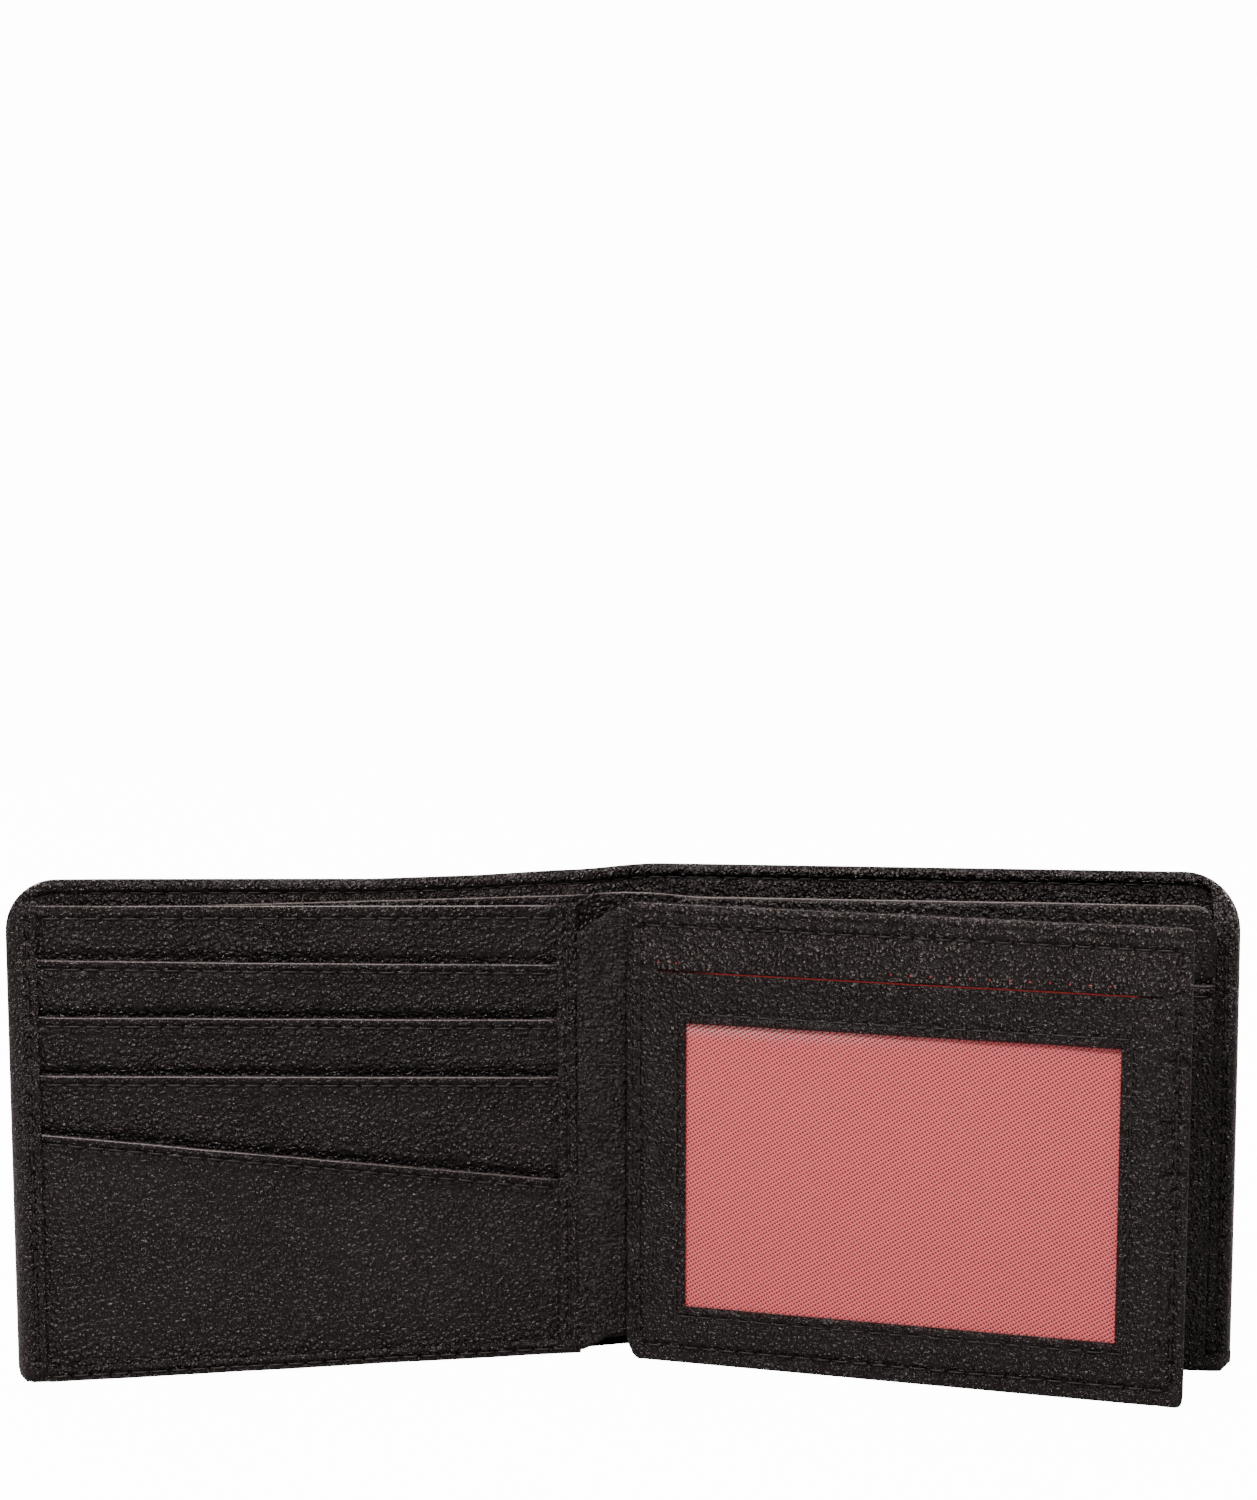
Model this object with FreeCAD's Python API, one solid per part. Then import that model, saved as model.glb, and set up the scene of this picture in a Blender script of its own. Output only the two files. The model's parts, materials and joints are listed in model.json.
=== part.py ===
import FreeCAD, Part
import math
import os

# Bifold wallet with a hinged identity-card flap, standing open on its long bottom edge.
# Frame: origin at the bottom centre of the half-open wallet, +Z up along the fold, and +X out
# along the right half. The inside of the wallet faces -Y. Each leaf is drawn flat from the fold
# axis, with its length along X and its depth along Y, and is then turned about the fold axis
# into the half-open rest pose. The last step moves the fold axis to its place in the frame.
# Lengths are in millimetres and angles in degrees.

# ---- driving dimensions -------------------------------------------------------------------
cover_height = 89.0
half_length = 108.3          # fold axis to outer edge
corner_radius = 10.0         # top outer corners of the cover
foot_radius = 2.5            # bottom outer corners of the cover
facing_top = 84.6            # top edge of both inner walls

left_open_angle = 14.5       # how far the left half still has to open to lie flat
flap_open_angle = 9.05       # how far the flap stands off the right half

cover_leather = 1.3
cover_lining = 0.2
pocket_leather = 0.5
wall_leather = 0.6
slip_leather = 0.8
layer_gap = 0.1

left_front = 2.3             # depth of the foremost pocket of the left half
left_inner_edge = 9.5        # fold axis to the inner edge of the left pockets
right_front = 2.1            # depth of the slip pocket of the right half
right_inner_edge = 9.5
note_gap_left = 1.2          # banknote space behind the left pockets
note_gap_right = 4.6         # banknote space behind the right wall

hem_width = 5.4              # turned border of the left half
binding_width = 4.0          # strip that binds the inner edge of the left pockets
bottom_hem = 3.4
right_hem_width = 3.0

hem_inset = 1.2              # linings and turned hems lie this far inside the cover's edge
top_hem_depth = 0.3
top_hem_low = 80.0
top_hem_radius = 7.0

pocket_lips = [74.1, 64.2, 53.9]     # halfway along the left half
lip_slope = 0.042            # the lips fall towards the fold by this much per millimetre
low_lip_outer = 45.9         # slanted pocket, at the outer hem
low_lip_inner = 32.7         # slanted pocket, at the fold side
slip_lip = 69.5

flap_length = 98.5
flap_bottom = 0.7
flap_top = 84.2
flap_half_thickness = 1.5
hinge_roll_radius = 0.6      # rolled fold of leather that the flap turns on
flap_corner_radius = 3.0
window_start = 10.9
window_end = 86.8
window_bottom = 11.1
window_top = 62.9
slit_height = 71.8           # mouth of the window pocket, a slit in the front leather
slit_width = 0.3
slit_start = 5.2
slit_end = 93.6
back_lips = [72.0, 61.0, 50.4, 41.4]

thread_width = 0.5
thread_height = 0.12

# ---- depths worked out from the layers ----------------------------------------------------
pocket_pitch = pocket_leather + layer_gap
left_wall_front = left_front + (len(pocket_lips) + 1) * pocket_pitch
left_cover_front = left_wall_front + wall_leather + note_gap_left
right_wall_front = right_front + slip_leather + layer_gap
right_wall_back = right_wall_front + wall_leather
right_cover_front = right_wall_back + note_gap_right
left_back = left_cover_front + cover_lining + cover_leather
right_back = right_cover_front + cover_lining + cover_leather

parts = {}


# ---- helpers ------------------------------------------------------------------------------
def slab(start, end, front, back, low, high):
    """Rectangular sheet: start and end along the leaf, front and back in depth."""
    corner = FreeCAD.Vector(start, front, low)
    return Part.makeBox(end - start, back - front, high - low, corner)


def sheet(outline, front, back):
    """Sheet with a straight-sided outline of (length, height) points."""
    points = [FreeCAD.Vector(x, front, z) for x, z in outline]
    face = Part.Face(Part.makePolygon(points + points[:1]))
    return face.extrude(FreeCAD.Vector(0, back - front, 0))


def round_edge(shape, length, height, radius):
    """Round the depth-wise edge of a sheet that stands at one length and height."""
    here = []
    for edge in shape.Edges:
        ends = [vertex.Point for vertex in edge.Vertexes]
        if all(abs(p.x - length) < 0.01 and abs(p.z - height) < 0.01 for p in ends):
            here.append(edge)
    return shape.makeFillet(radius, here)


def cover_panel(start, front, back, inset):
    """One half of the cover, with its rounded outer corners."""
    end = half_length - inset
    low = inset
    high = cover_height - inset
    panel = slab(start, end, front, back, low, high)
    panel = round_edge(panel, end, high, corner_radius - inset)
    return round_edge(panel, end, low, foot_radius)


def top_hem(back):
    """Turned edge along the top of one half of the cover, on its inner side."""
    end = half_length - hem_inset
    high = cover_height - hem_inset
    band = slab(right_inner_edge, end, back - top_hem_depth, back, top_hem_low, high)
    return round_edge(band, end, high, top_hem_radius)


def mirror(shape):
    """Left-handed copy of a sheet, so that its length runs towards -X."""
    return shape.mirror(FreeCAD.Vector(0, 0, 0), FreeCAD.Vector(1, 0, 0))


def on_left(shape):
    """Turn a sheet drawn towards +X into its place on the left half."""
    turned = mirror(shape)
    turned.rotate(FreeCAD.Vector(0, 0, 0), FreeCAD.Vector(0, 0, 1), left_open_angle)
    return turned


def on_flap(shape):
    """Turn a sheet drawn along +X into its place on the flap."""
    turned = shape.copy()
    turned.rotate(FreeCAD.Vector(0, 0, 0), FreeCAD.Vector(0, 0, 1), -flap_open_angle)
    return turned


def thread_line(start, end, front, low, high):
    """Flat line of thread lying on a surface at the given depth."""
    return slab(start, end, front - thread_height, front, low, high)


def left_point(distance, depth):
    """Plan point of the left half, in the shared frame."""
    turn = math.radians(left_open_angle)
    x = -distance * math.cos(turn) - depth * math.sin(turn)
    y = -distance * math.sin(turn) + depth * math.cos(turn)
    return FreeCAD.Vector(x, y, 0)


def curved_wall(outer, inner, low, high):
    """Bent sheet between two arcs, each given by three plan points."""
    lift = FreeCAD.Vector(0, 0, low)
    first = Part.Arc(*[point + lift for point in outer]).toShape()
    second = Part.Arc(*[point + lift for point in inner]).toShape()
    near_end = Part.makeLine(outer[0] + lift, inner[0] + lift)
    far_end = Part.makeLine(outer[2] + lift, inner[2] + lift)
    outline = Part.Wire(Part.__sortEdges__([first, far_end, second, near_end]))
    return Part.Face(outline).extrude(FreeCAD.Vector(0, 0, high - low))


# ---- right half: the body that the other two turn on ----------------------------------------
cover_joint_right = 5.0      # where the right cover panel meets the spine
right_wall_end = half_length - right_hem_width
right_hem_front = right_cover_front - 1.2
parts["cover_right"] = cover_panel(
    cover_joint_right, right_cover_front + cover_lining, right_back, 0.0)
parts["cover_lining_right"] = cover_panel(
    cover_joint_right, right_cover_front, right_cover_front + cover_lining, hem_inset)
parts["cover_top_hem_right"] = top_hem(right_cover_front)
parts["outer_hem_right"] = slab(
    right_wall_end, half_length, right_hem_front, right_cover_front, foot_radius, top_hem_low)
parts["bottom_hem_right"] = slab(
    right_inner_edge, right_wall_end, right_hem_front, right_cover_front, 0.0, bottom_hem)

seam_width = 2.4
parts["note_wall_right"] = slab(
    right_inner_edge, right_wall_end, right_wall_front, right_wall_back, bottom_hem, facing_top)
parts["slip_pocket_right"] = slab(
    right_inner_edge, right_wall_end, right_front, right_front + slip_leather, bottom_hem, slip_lip)
parts["top_band_right"] = slab(
    right_inner_edge, right_wall_end, right_front, right_front + slip_leather,
    slip_lip + 4.5, facing_top)
parts["side_seam_right"] = slab(
    right_wall_end - seam_width, right_wall_end, right_wall_back, right_cover_front,
    bottom_hem, top_hem_low)
parts["bottom_seam_right"] = slab(
    right_inner_edge, right_wall_end, right_front, right_hem_front, 0.4, bottom_hem)
parts["inner_strip_right"] = slab(
    right_inner_edge - 1.2, right_inner_edge, right_front, right_wall_back, 0.4, facing_top)

parts["thread_right_outer"] = thread_line(
    right_wall_end + 1.2, right_wall_end + 1.2 + thread_width, right_hem_front,
    foot_radius + 1.0, top_hem_low - 1.0)
parts["thread_right_slip_lip"] = thread_line(
    right_inner_edge + 2.0, right_wall_end - 1.0, right_front,
    slip_lip - 2.0, slip_lip - 2.0 + thread_width)

# ---- spine: two bent sheets between the halves ---------------------------------------------
spine_foot = 0.4
cover_joint_left = left_inner_edge
outer_spine = [
    left_point(cover_joint_left, left_back),
    FreeCAD.Vector(-3.9, 9.4, 0),
    FreeCAD.Vector(cover_joint_right, right_back, 0),
]
inner_spine = [
    left_point(cover_joint_left, left_back - cover_leather),
    FreeCAD.Vector(-3.5, 8.1, 0),
    FreeCAD.Vector(cover_joint_right, right_back - cover_leather, 0),
]
parts["cover_spine"] = curved_wall(outer_spine, inner_spine, spine_foot, cover_height)

lining_outer = [
    left_point(left_inner_edge, left_wall_front + wall_leather),
    FreeCAD.Vector(-1.0, 7.2, 0),
    FreeCAD.Vector(right_inner_edge, right_wall_back + 0.3, 0),
]
lining_inner = [
    left_point(left_inner_edge, left_wall_front),
    FreeCAD.Vector(-1.0, 6.6, 0),
    FreeCAD.Vector(right_inner_edge, right_wall_back - 0.3, 0),
]
spine_lining = curved_wall(lining_outer, lining_inner, spine_foot, facing_top)
parts["spine_lining"] = spine_lining.cut(parts["inner_strip_right"])

# ---- left half: four card pockets in front of the note wall -------------------------------
left_wall_back = left_wall_front + wall_leather
left_pocket_end = half_length - hem_width
left_pocket_start = left_inner_edge + binding_width
hem_leather = 0.28
edge_front = left_front - 0.3

parts["cover_left"] = on_left(cover_panel(
    cover_joint_left, left_cover_front + cover_lining, left_back, 0.0))
parts["cover_lining_left"] = on_left(cover_panel(
    cover_joint_left, left_cover_front, left_cover_front + cover_lining, hem_inset))
parts["cover_top_hem_left"] = on_left(top_hem(left_cover_front))
parts["outer_hem_left"] = on_left(slab(
    left_pocket_end, half_length, edge_front, edge_front + hem_leather, 0.0, 78.5))
parts["bottom_hem_left"] = on_left(slab(
    left_inner_edge, left_pocket_end, edge_front, left_wall_front, 0.0, bottom_hem))
parts["inner_binding_left"] = on_left(slab(
    left_inner_edge, left_pocket_start, edge_front - 0.1, left_front - 0.05,
    bottom_hem, facing_top))
parts["side_seam_left"] = on_left(slab(
    half_length - 2.6, half_length - 0.4, edge_front + hem_leather, left_cover_front,
    foot_radius, 78.5))
parts["bottom_seam_left"] = on_left(slab(
    left_inner_edge, half_length - 2.6, left_wall_back, left_cover_front, 0.4, 2.8))
parts["note_wall_left"] = on_left(slab(
    left_inner_edge, half_length - 2.6, left_wall_front, left_wall_back, 0.4, facing_top))

pocket_end = half_length - 2.6
for number, lip in enumerate(pocket_lips, start=1):
    front = left_wall_front - number * pocket_pitch
    rise = lip_slope * (pocket_end - left_inner_edge) / 2
    outline = [
        (left_inner_edge, bottom_hem),
        (pocket_end, bottom_hem),
        (pocket_end, lip + rise),
        (left_inner_edge, lip - rise),
    ]
    parts["card_pocket_%d" % number] = on_left(sheet(outline, front, front + pocket_leather))
slanted = [
    (left_inner_edge, bottom_hem),
    (pocket_end, bottom_hem),
    (pocket_end, low_lip_outer),
    (left_inner_edge, low_lip_inner),
]
parts["card_pocket_4"] = on_left(sheet(slanted, left_front, left_front + pocket_leather))

hinge_gap = 0.4
strip_front = flap_half_thickness + hinge_gap
strip_leather = 0.6
hinge_strip = [
    (0.0, 5.0),
    (left_inner_edge, 1.5),
    (left_inner_edge, 78.5),
    (0.0, 83.2),
]
parts["hinge_strip"] = on_left(sheet(hinge_strip, strip_front, strip_front + strip_leather))

seam_inset = 1.6
parts["thread_left_outer"] = on_left(thread_line(
    left_pocket_end + seam_inset, left_pocket_end + seam_inset + thread_width, edge_front,
    bottom_hem, 78.0))
parts["thread_left_bottom"] = on_left(thread_line(
    left_inner_edge + 1.0, left_pocket_end + seam_inset, edge_front,
    seam_inset, seam_inset + thread_width))
parts["thread_left_inner"] = on_left(thread_line(
    left_inner_edge + seam_inset, left_inner_edge + seam_inset + thread_width,
    edge_front - 0.1, bottom_hem, facing_top - 1.0))
parts["thread_left_top"] = on_left(thread_line(
    left_pocket_start, pocket_end, left_wall_front,
    facing_top - 2.3, facing_top - 2.3 + thread_width))

# ---- identity-card flap ---------------------------------------------------------------------
front_leather = 0.6
film_thickness = 0.15
lining_thickness = 0.15
core_thickness = 0.4
back_leather = 0.28
flap_start = 0.9
flap_front = -flap_half_thickness
film_front = flap_front + front_leather + 0.05
lining_front = film_front + film_thickness + 0.05
core_front = lining_front + lining_thickness + 0.05
back_front = core_front + core_thickness + 0.05

front_panel = round_edge(
    slab(flap_start, flap_length, flap_front, flap_front + front_leather, flap_bottom, flap_top),
    flap_length, flap_top, flap_corner_radius)
window = slab(
    window_start, window_end, flap_front - 1.0, 0.0, window_bottom, window_top)
slit = slab(
    slit_start, slit_end, flap_front - 1.0, 0.0, slit_height, slit_height + slit_width)
parts["flap_window_frame"] = on_flap(front_panel.cut(window).cut(slit))
parts["flap_window_film"] = on_flap(slab(
    window_start - 4.0, window_end + 4.0, film_front, film_front + film_thickness,
    window_bottom - 4.0, slit_height - 1.0))
parts["flap_red_lining"] = on_flap(slab(
    window_start - 5.0, window_end + 5.0, lining_front, lining_front + lining_thickness,
    window_bottom - 5.0, slit_height + 5.0))
parts["flap_core"] = on_flap(round_edge(
    slab(flap_start, flap_length - 0.6, core_front, core_front + core_thickness,
         flap_bottom + 0.4, flap_top - 0.4),
    flap_length - 0.6, flap_top - 0.4, flap_corner_radius))
parts["flap_back_wall"] = on_flap(round_edge(
    slab(flap_start, flap_length, back_front, back_front + back_leather, flap_bottom, flap_top),
    flap_length, flap_top, flap_corner_radius))
back_pitch = (flap_half_thickness - back_front - back_leather) / len(back_lips)
for number, lip in enumerate(back_lips, start=1):
    front = back_front + number * back_pitch
    parts["flap_back_pocket_%d" % number] = on_flap(slab(
        flap_start, flap_length, front, front + back_pitch - 0.03, flap_bottom, lip))
parts["flap_hinge_roll"] = Part.makeCylinder(
    hinge_roll_radius, flap_top - 4.0, FreeCAD.Vector(0, 0, 3.6), FreeCAD.Vector(0, 0, 1))

window_seam = 1.8
parts["thread_flap_hinge"] = on_flap(thread_line(
    flap_start + 1.4, flap_start + 1.4 + thread_width, flap_front, flap_bottom + 3.0, flap_top - 1))
parts["thread_flap_top"] = on_flap(thread_line(
    flap_start + 2.0, flap_length - 4.0, flap_front, flap_top - 4.3, flap_top - 4.3 + thread_width))
parts["thread_flap_bottom"] = on_flap(thread_line(
    flap_start + 2.0, flap_length - 4.0, flap_front, flap_bottom + 2.6, flap_bottom + 3.1))
parts["thread_flap_outer"] = on_flap(thread_line(
    flap_length - 2.2, flap_length - 2.2 + thread_width, flap_front,
    flap_bottom + 3.0, flap_top - 4.0))
ring_outer = slab(
    window_start - window_seam, window_end + window_seam, flap_front - thread_height, flap_front,
    window_bottom - window_seam, window_top + window_seam)
ring_width = window_seam - thread_width
ring_inner = slab(
    window_start - ring_width, window_end + ring_width, flap_front - 1.0, flap_front + 1.0,
    window_bottom - ring_width, window_top + ring_width)
parts["thread_window"] = on_flap(ring_outer.cut(ring_inner))

# ---- write one file per piece ---------------------------------------------------------------
bounds = Part.makeCompound(list(parts.values())).BoundBox
fold_axis = FreeCAD.Vector(-bounds.Center.x, -bounds.Center.y, 0)
os.makedirs("parts", exist_ok=True)
for name, shape in parts.items():
    assert shape.isValid() and len(shape.Solids) == 1, name
    solid = shape.Solids[0].translated(fold_axis)
    solid.exportStep("parts/%s.step" % name)
print(len(parts), "pieces, foot of the fold axis at", fold_axis)
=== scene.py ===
import json
import math

import bmesh
import bpy
import numpy as np
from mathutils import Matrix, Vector


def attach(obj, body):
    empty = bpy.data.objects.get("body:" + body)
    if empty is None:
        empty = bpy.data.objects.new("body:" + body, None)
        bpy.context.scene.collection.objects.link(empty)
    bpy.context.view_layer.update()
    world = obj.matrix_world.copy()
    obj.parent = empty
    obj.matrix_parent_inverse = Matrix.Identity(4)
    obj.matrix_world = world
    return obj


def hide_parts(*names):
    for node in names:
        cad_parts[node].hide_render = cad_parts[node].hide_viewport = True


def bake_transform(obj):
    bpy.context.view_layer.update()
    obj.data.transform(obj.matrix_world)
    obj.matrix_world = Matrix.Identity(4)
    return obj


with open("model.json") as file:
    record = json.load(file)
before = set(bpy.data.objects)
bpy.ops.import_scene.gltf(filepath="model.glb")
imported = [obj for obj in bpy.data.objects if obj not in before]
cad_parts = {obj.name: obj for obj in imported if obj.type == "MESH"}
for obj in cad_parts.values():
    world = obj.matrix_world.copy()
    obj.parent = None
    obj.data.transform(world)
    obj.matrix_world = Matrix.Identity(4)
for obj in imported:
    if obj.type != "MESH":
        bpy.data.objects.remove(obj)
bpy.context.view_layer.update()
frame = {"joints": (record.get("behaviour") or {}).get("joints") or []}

# Bifold leather wallet with a clear-window card flap, half open on its long edge.
# Pieces are drawn leaf by leaf in millimetres: u runs out from the fold axis along the leaf,
# d is the depth behind the axis, away from the viewer, and z is the height. place() turns a leaf's
# points into the shared frame, in metres.
# Bare numbers in the shapes are millimetres, shares of a length or seeds of ripple().

MM = 0.001

# ---- dimensions, in millimetres -------------------------------------------------------------
joints = {joint["name"]: joint for joint in frame["joints"]}
AXIS = Vector(joints["wallet_fold"]["pos_m"])
LEFT_OPEN = joints["wallet_fold"]["range_deg"][1]
FLAP_OPEN = 9.05             # between the flap and the right half
BODIES = {"left": "left_half", "right": "right_half", "flap": "id_flap"}

HALF = 108.3
CORNER = 10.0
LEFT_CORNER = 8.8
FOOT = 2.5
LEFT_BACK = 8.0
RIGHT_BACK = 9.7
LEFT_TOP = 88.2
RIGHT_TOP = 89.0
LEAN = 3.6                   # how far the right half of the cover leans back at its top
LEATHER = 1.3
INNER_TOP = 84.6             # top edge of the inner wall
INNER_EDGE = 8.2             # fold axis to the inner edge of the pockets
SPINE_JOIN = 9.5             # fold axis to where the skins start to bend, on the left half
HEM = 5.4
BINDING = 4.0
BOTTOM_HEM = 3.4
POCKET_FRONT = 2.3
PITCH = 0.6                  # depth from one pocket to the next
LIPS = [74.1, 64.2, 53.9]
LOW_LIP = (45.9, 32.7)       # slanted lip, at the hem and at the fold side
SLIP_LIP = 70.6
RIGHT_FRONT = 2.1
RIGHT_HEM = 5.2

FLAP_LENGTH = 98.5
FLAP_LOW = 0.7
FLAP_TOP = 84.2
FLAP_HALF = 1.5
WINDOW = (10.9, 86.8, 11.1, 62.9)
SLIT = 72.0
BACK_LIPS = [72.0, 61.0, 50.4, 41.4]

STITCH = 3.4                 # from one needle hole to the next
THREAD = 0.15                # radius of the sewing thread


# ---- placing and meshing ----------------------------------------------------------------------
def place(leaf, u, d, z):
    """Points of a leaf in the shared frame, in metres."""
    turn = {"left": LEFT_OPEN, "right": 0.0, "flap": -FLAP_OPEN}[leaf]
    x = -u if leaf == "left" else u
    c = math.cos(math.radians(turn))
    s = math.sin(math.radians(turn))
    points = np.stack([x * c - d * s, x * s + d * c, z + 0.0 * x], -1)
    return points * MM + np.array(AXIS)


def stops(low, high, step, marks=()):
    """Places from low to high, at most step apart, with every mark among them."""
    fixed = [low]
    for mark in sorted(marks):
        if fixed[-1] + 0.05 < mark < high - 0.05:
            fixed.append(mark)
    fixed.append(high)
    places = []
    for a, b in zip(fixed, fixed[1:]):
        count = max(1, math.ceil((b - a) / step))
        places += [a + (b - a) * i / count for i in range(count)]
    return np.array(places + [high])


def grid(first, second):
    """Two arrays that hold the places of every point of a grid."""
    return np.meshgrid(first, second, indexing="ij")


def stitch_count(low, high):
    return max(2, round((high - low) / STITCH))


def needle_marks(low, high):
    """Extra places round each needle hole of a seam."""
    count = stitch_count(low, high)
    holes = [low + (high - low) * i / count for i in range(count + 1)]
    return [hole + k for hole in holes for k in (-0.45, 0, 0.45)]


def around(line):
    """Extra places across a seam."""
    return [line - 0.9, line - 0.35, line, line + 0.35, line + 0.9]


def seam_dent(along, across, low, high):
    """How deep a seam pulls the leather in: a shallow groove with a pit at each needle hole."""
    count = stitch_count(low, high)
    phase = (along - low) / (high - low) * count
    off = np.abs(phase - np.round(phase)) * (high - low) / count
    inside = (along > low - 0.6) & (along < high + 0.6)
    groove = 0.20 * bell(across, 0.6)
    pit = 0.62 * bell(across, 0.38) * bell(off, 0.42)
    return np.where(inside, groove + pit, 0.0)


def rolled(distance, radius):
    """How far a rounded edge has turned in, at a distance from the rim."""
    near = np.clip(1 - distance / radius, 0, 1)
    return radius * (1 - np.sqrt(1 - 0.94 * near ** 2))


def bell(distance, width):
    """1 on a line, falling away to both sides of it."""
    return np.exp(-(distance / width) ** 2)


def smooth(value, low, high):
    t = np.clip((value - low) / (high - low), 0, 1)
    return t * t * (3 - 2 * t)


def ripple(u, z, seed, scale=1.0):
    """Soft unevenness of hand-worked leather, between about -1 and 1."""
    total = 0.0
    for k in range(5):
        angle = 1.3 * seed + 2.1 * k
        length = (31.0 - 4.6 * k) * scale
        along = u * math.cos(angle) + z * math.sin(angle)
        total = total + np.sin(along * 2 * math.pi / length + 5.7 * seed * (k + 1)) / (1.6 + 0.5 * k)
    return total / 2.0


def mesh_object(name, points, faces, materials, face_slots=None):
    mesh = bpy.data.meshes.new(name)
    mesh.from_pydata(np.asarray(points).tolist(), [], [list(face) for face in faces])
    for material in materials:
        mesh.materials.append(material)
    if face_slots is not None:
        mesh.polygons.foreach_set("material_index", face_slots)
    mesh.validate()
    work = bmesh.new()
    work.from_mesh(mesh)
    bmesh.ops.recalc_face_normals(work, faces=work.faces)
    work.to_mesh(mesh)
    work.free()
    mesh.polygons.foreach_set("use_smooth", [True] * len(mesh.polygons))
    piece = bpy.data.objects.new(name, mesh)
    bpy.context.scene.collection.objects.link(piece)
    return piece


def closed_sheet(name, front, back, materials, hole=None, wear_and_highlight_rows=0):
    """Closed mesh from a front and a back grid of points, joined round every rim.

    The rim takes the last material, and so do the first rows of the front that are asked for, where that
    lighter colour is partly wear and partly a painted highlight along a lip."""
    rows, columns = front.shape[:2]
    index = np.arange(rows * columns).reshape(rows, columns)
    quads = np.stack([index[:-1, :-1], index[1:, :-1], index[1:, 1:], index[:-1, 1:]], -1)
    wear_and_highlight_mask = np.zeros(quads.shape[:2], bool)
    # These first rows of the front get the lighter lip colour: partly wear, partly a painted highlight.
    wear_and_highlight_mask[:, :wear_and_highlight_rows] = True
    if hole is not None:
        quads = quads[~hole]
        wear_and_highlight_mask = wear_and_highlight_mask[~hole]
    last = len(materials) - 1
    quads = quads.reshape(-1, 4)
    forward = set()
    for quad in quads.tolist():
        forward.update(zip(quad, quad[1:] + quad[:1]))
    shift = rows * columns
    sides = [(a, b, b + shift, a + shift) for a, b in sorted(forward) if (b, a) not in forward]
    faces = quads.tolist() + (quads[:, ::-1] + shift).tolist() + sides
    slots = (wear_and_highlight_mask.ravel() * last).tolist() + [0] * len(quads) + [last] * len(sides)
    points = np.concatenate([front.reshape(-1, 3), back.reshape(-1, 3)])
    used = np.unique(np.array([i for face in faces for i in face]))
    renumber = np.zeros(len(points), int)
    renumber[used] = np.arange(len(used))
    faces = [[int(renumber[i]) for i in face] for face in faces]
    return mesh_object(name, points[used], faces, materials, slots)


def settle(piece, body, slot, *nodes):
    """Give a piece its body, if it has only one, and hide the CAD nodes that it stands for. Its slot is not
    used.
    """
    if body:
        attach(piece, body)
    if nodes:
        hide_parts(*nodes)
    return piece


def leaf_piece(name, leaf, u, near, far, z, materials, nodes=(), slot="inner_leather", hole=None, wear_and_highlight_rows=0):
    """Closed sheet of a leaf between two depths, riding on the leaf's body."""
    piece = closed_sheet(name, place(leaf, u, near, z), place(leaf, u, far, z), materials, hole, wear_and_highlight_rows)
    return settle(piece, BODIES[leaf], slot, *nodes)


# ---- stitches -----------------------------------------------------------------------------
def stitches(name, starts, ends, outward, material):
    """Row of thread stitches between needle holes. outward is the way out of the leather, one for
    the whole row or one for each stitch."""
    sides = 6
    turns = [-1.0, -0.8, -0.4, 0.0, 0.4, 0.8, 1.0]
    points = []
    faces = []
    outwards = np.broadcast_to(outward, np.shape(starts))
    for start, end, out in zip(starts, ends, outwards):
        middle = (start + end) / 2
        along = (end - start) / 2
        way = along / np.linalg.norm(along)
        cross = np.cross(way, out)
        base = len(points)
        for turn in turns:
            lift = THREAD * (0.55 - 1.9 * turn ** 4) * MM
            radius = THREAD * MM * math.sqrt(max(0.05, 1 - 0.8 * turn ** 4))
            centre = middle + along * 0.86 * turn + out * lift
            for k in range(sides):
                angle = 2 * math.pi * k / sides
                points.append(centre + radius * (math.cos(angle) * cross + math.sin(angle) * out))
        for ring in range(len(turns) - 1):
            for k in range(sides):
                a = base + ring * sides + k
                b = base + ring * sides + (k + 1) % sides
                faces.append((a, b, b + sides, a + sides))
        faces.append(tuple(base + k for k in range(sides)))
        faces.append(tuple(base + (len(turns) - 1) * sides + k for k in range(sides)))
    return mesh_object(name, points, faces, [material])


def leaf_outward(leaf):
    """Unit vector out of a leaf's front."""
    ends = place(leaf, np.array([0.0, 0.0]), np.array([0.0, -1.0]), np.array([0.0, 0.0]))
    way = ends[1] - ends[0]
    return way / np.linalg.norm(way)


def leaf_stitches(name, leaf, rows, depth, *nodes):
    """Stitches along straight rows of a leaf, each row ((u, z), (u, z)), lying at depth(u, z)."""
    starts = []
    ends = []
    for (u0, z0), (u1, z1) in rows:
        count = stitch_count(0, math.hypot(u1 - u0, z1 - z0))
        t = np.arange(count + 1) / count
        u = u0 + (u1 - u0) * t
        z = z0 + (z1 - z0) * t
        holes = place(leaf, u, depth(u, z) - 0.02, z)
        starts += list(holes[:-1])
        ends += list(holes[1:])
    piece = stitches(name, starts, ends, leaf_outward(leaf), thread)
    return settle(piece, BODIES[leaf], "thread", *nodes)


def upright(u, span):
    """Row of stitches up a leaf."""
    return [tuple((u, z) for z in span)]


def level(z, span):
    """Row of stitches along a leaf."""
    return [tuple((u, z) for u in span)]


def thread_nodes(leaf, rows, depth):
    """Stitches for each thread node of a leaf."""
    for node, lines in rows.items():
        leaf_stitches("stitches_" + node.removeprefix("thread_"), leaf, lines, depth, node)


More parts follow.
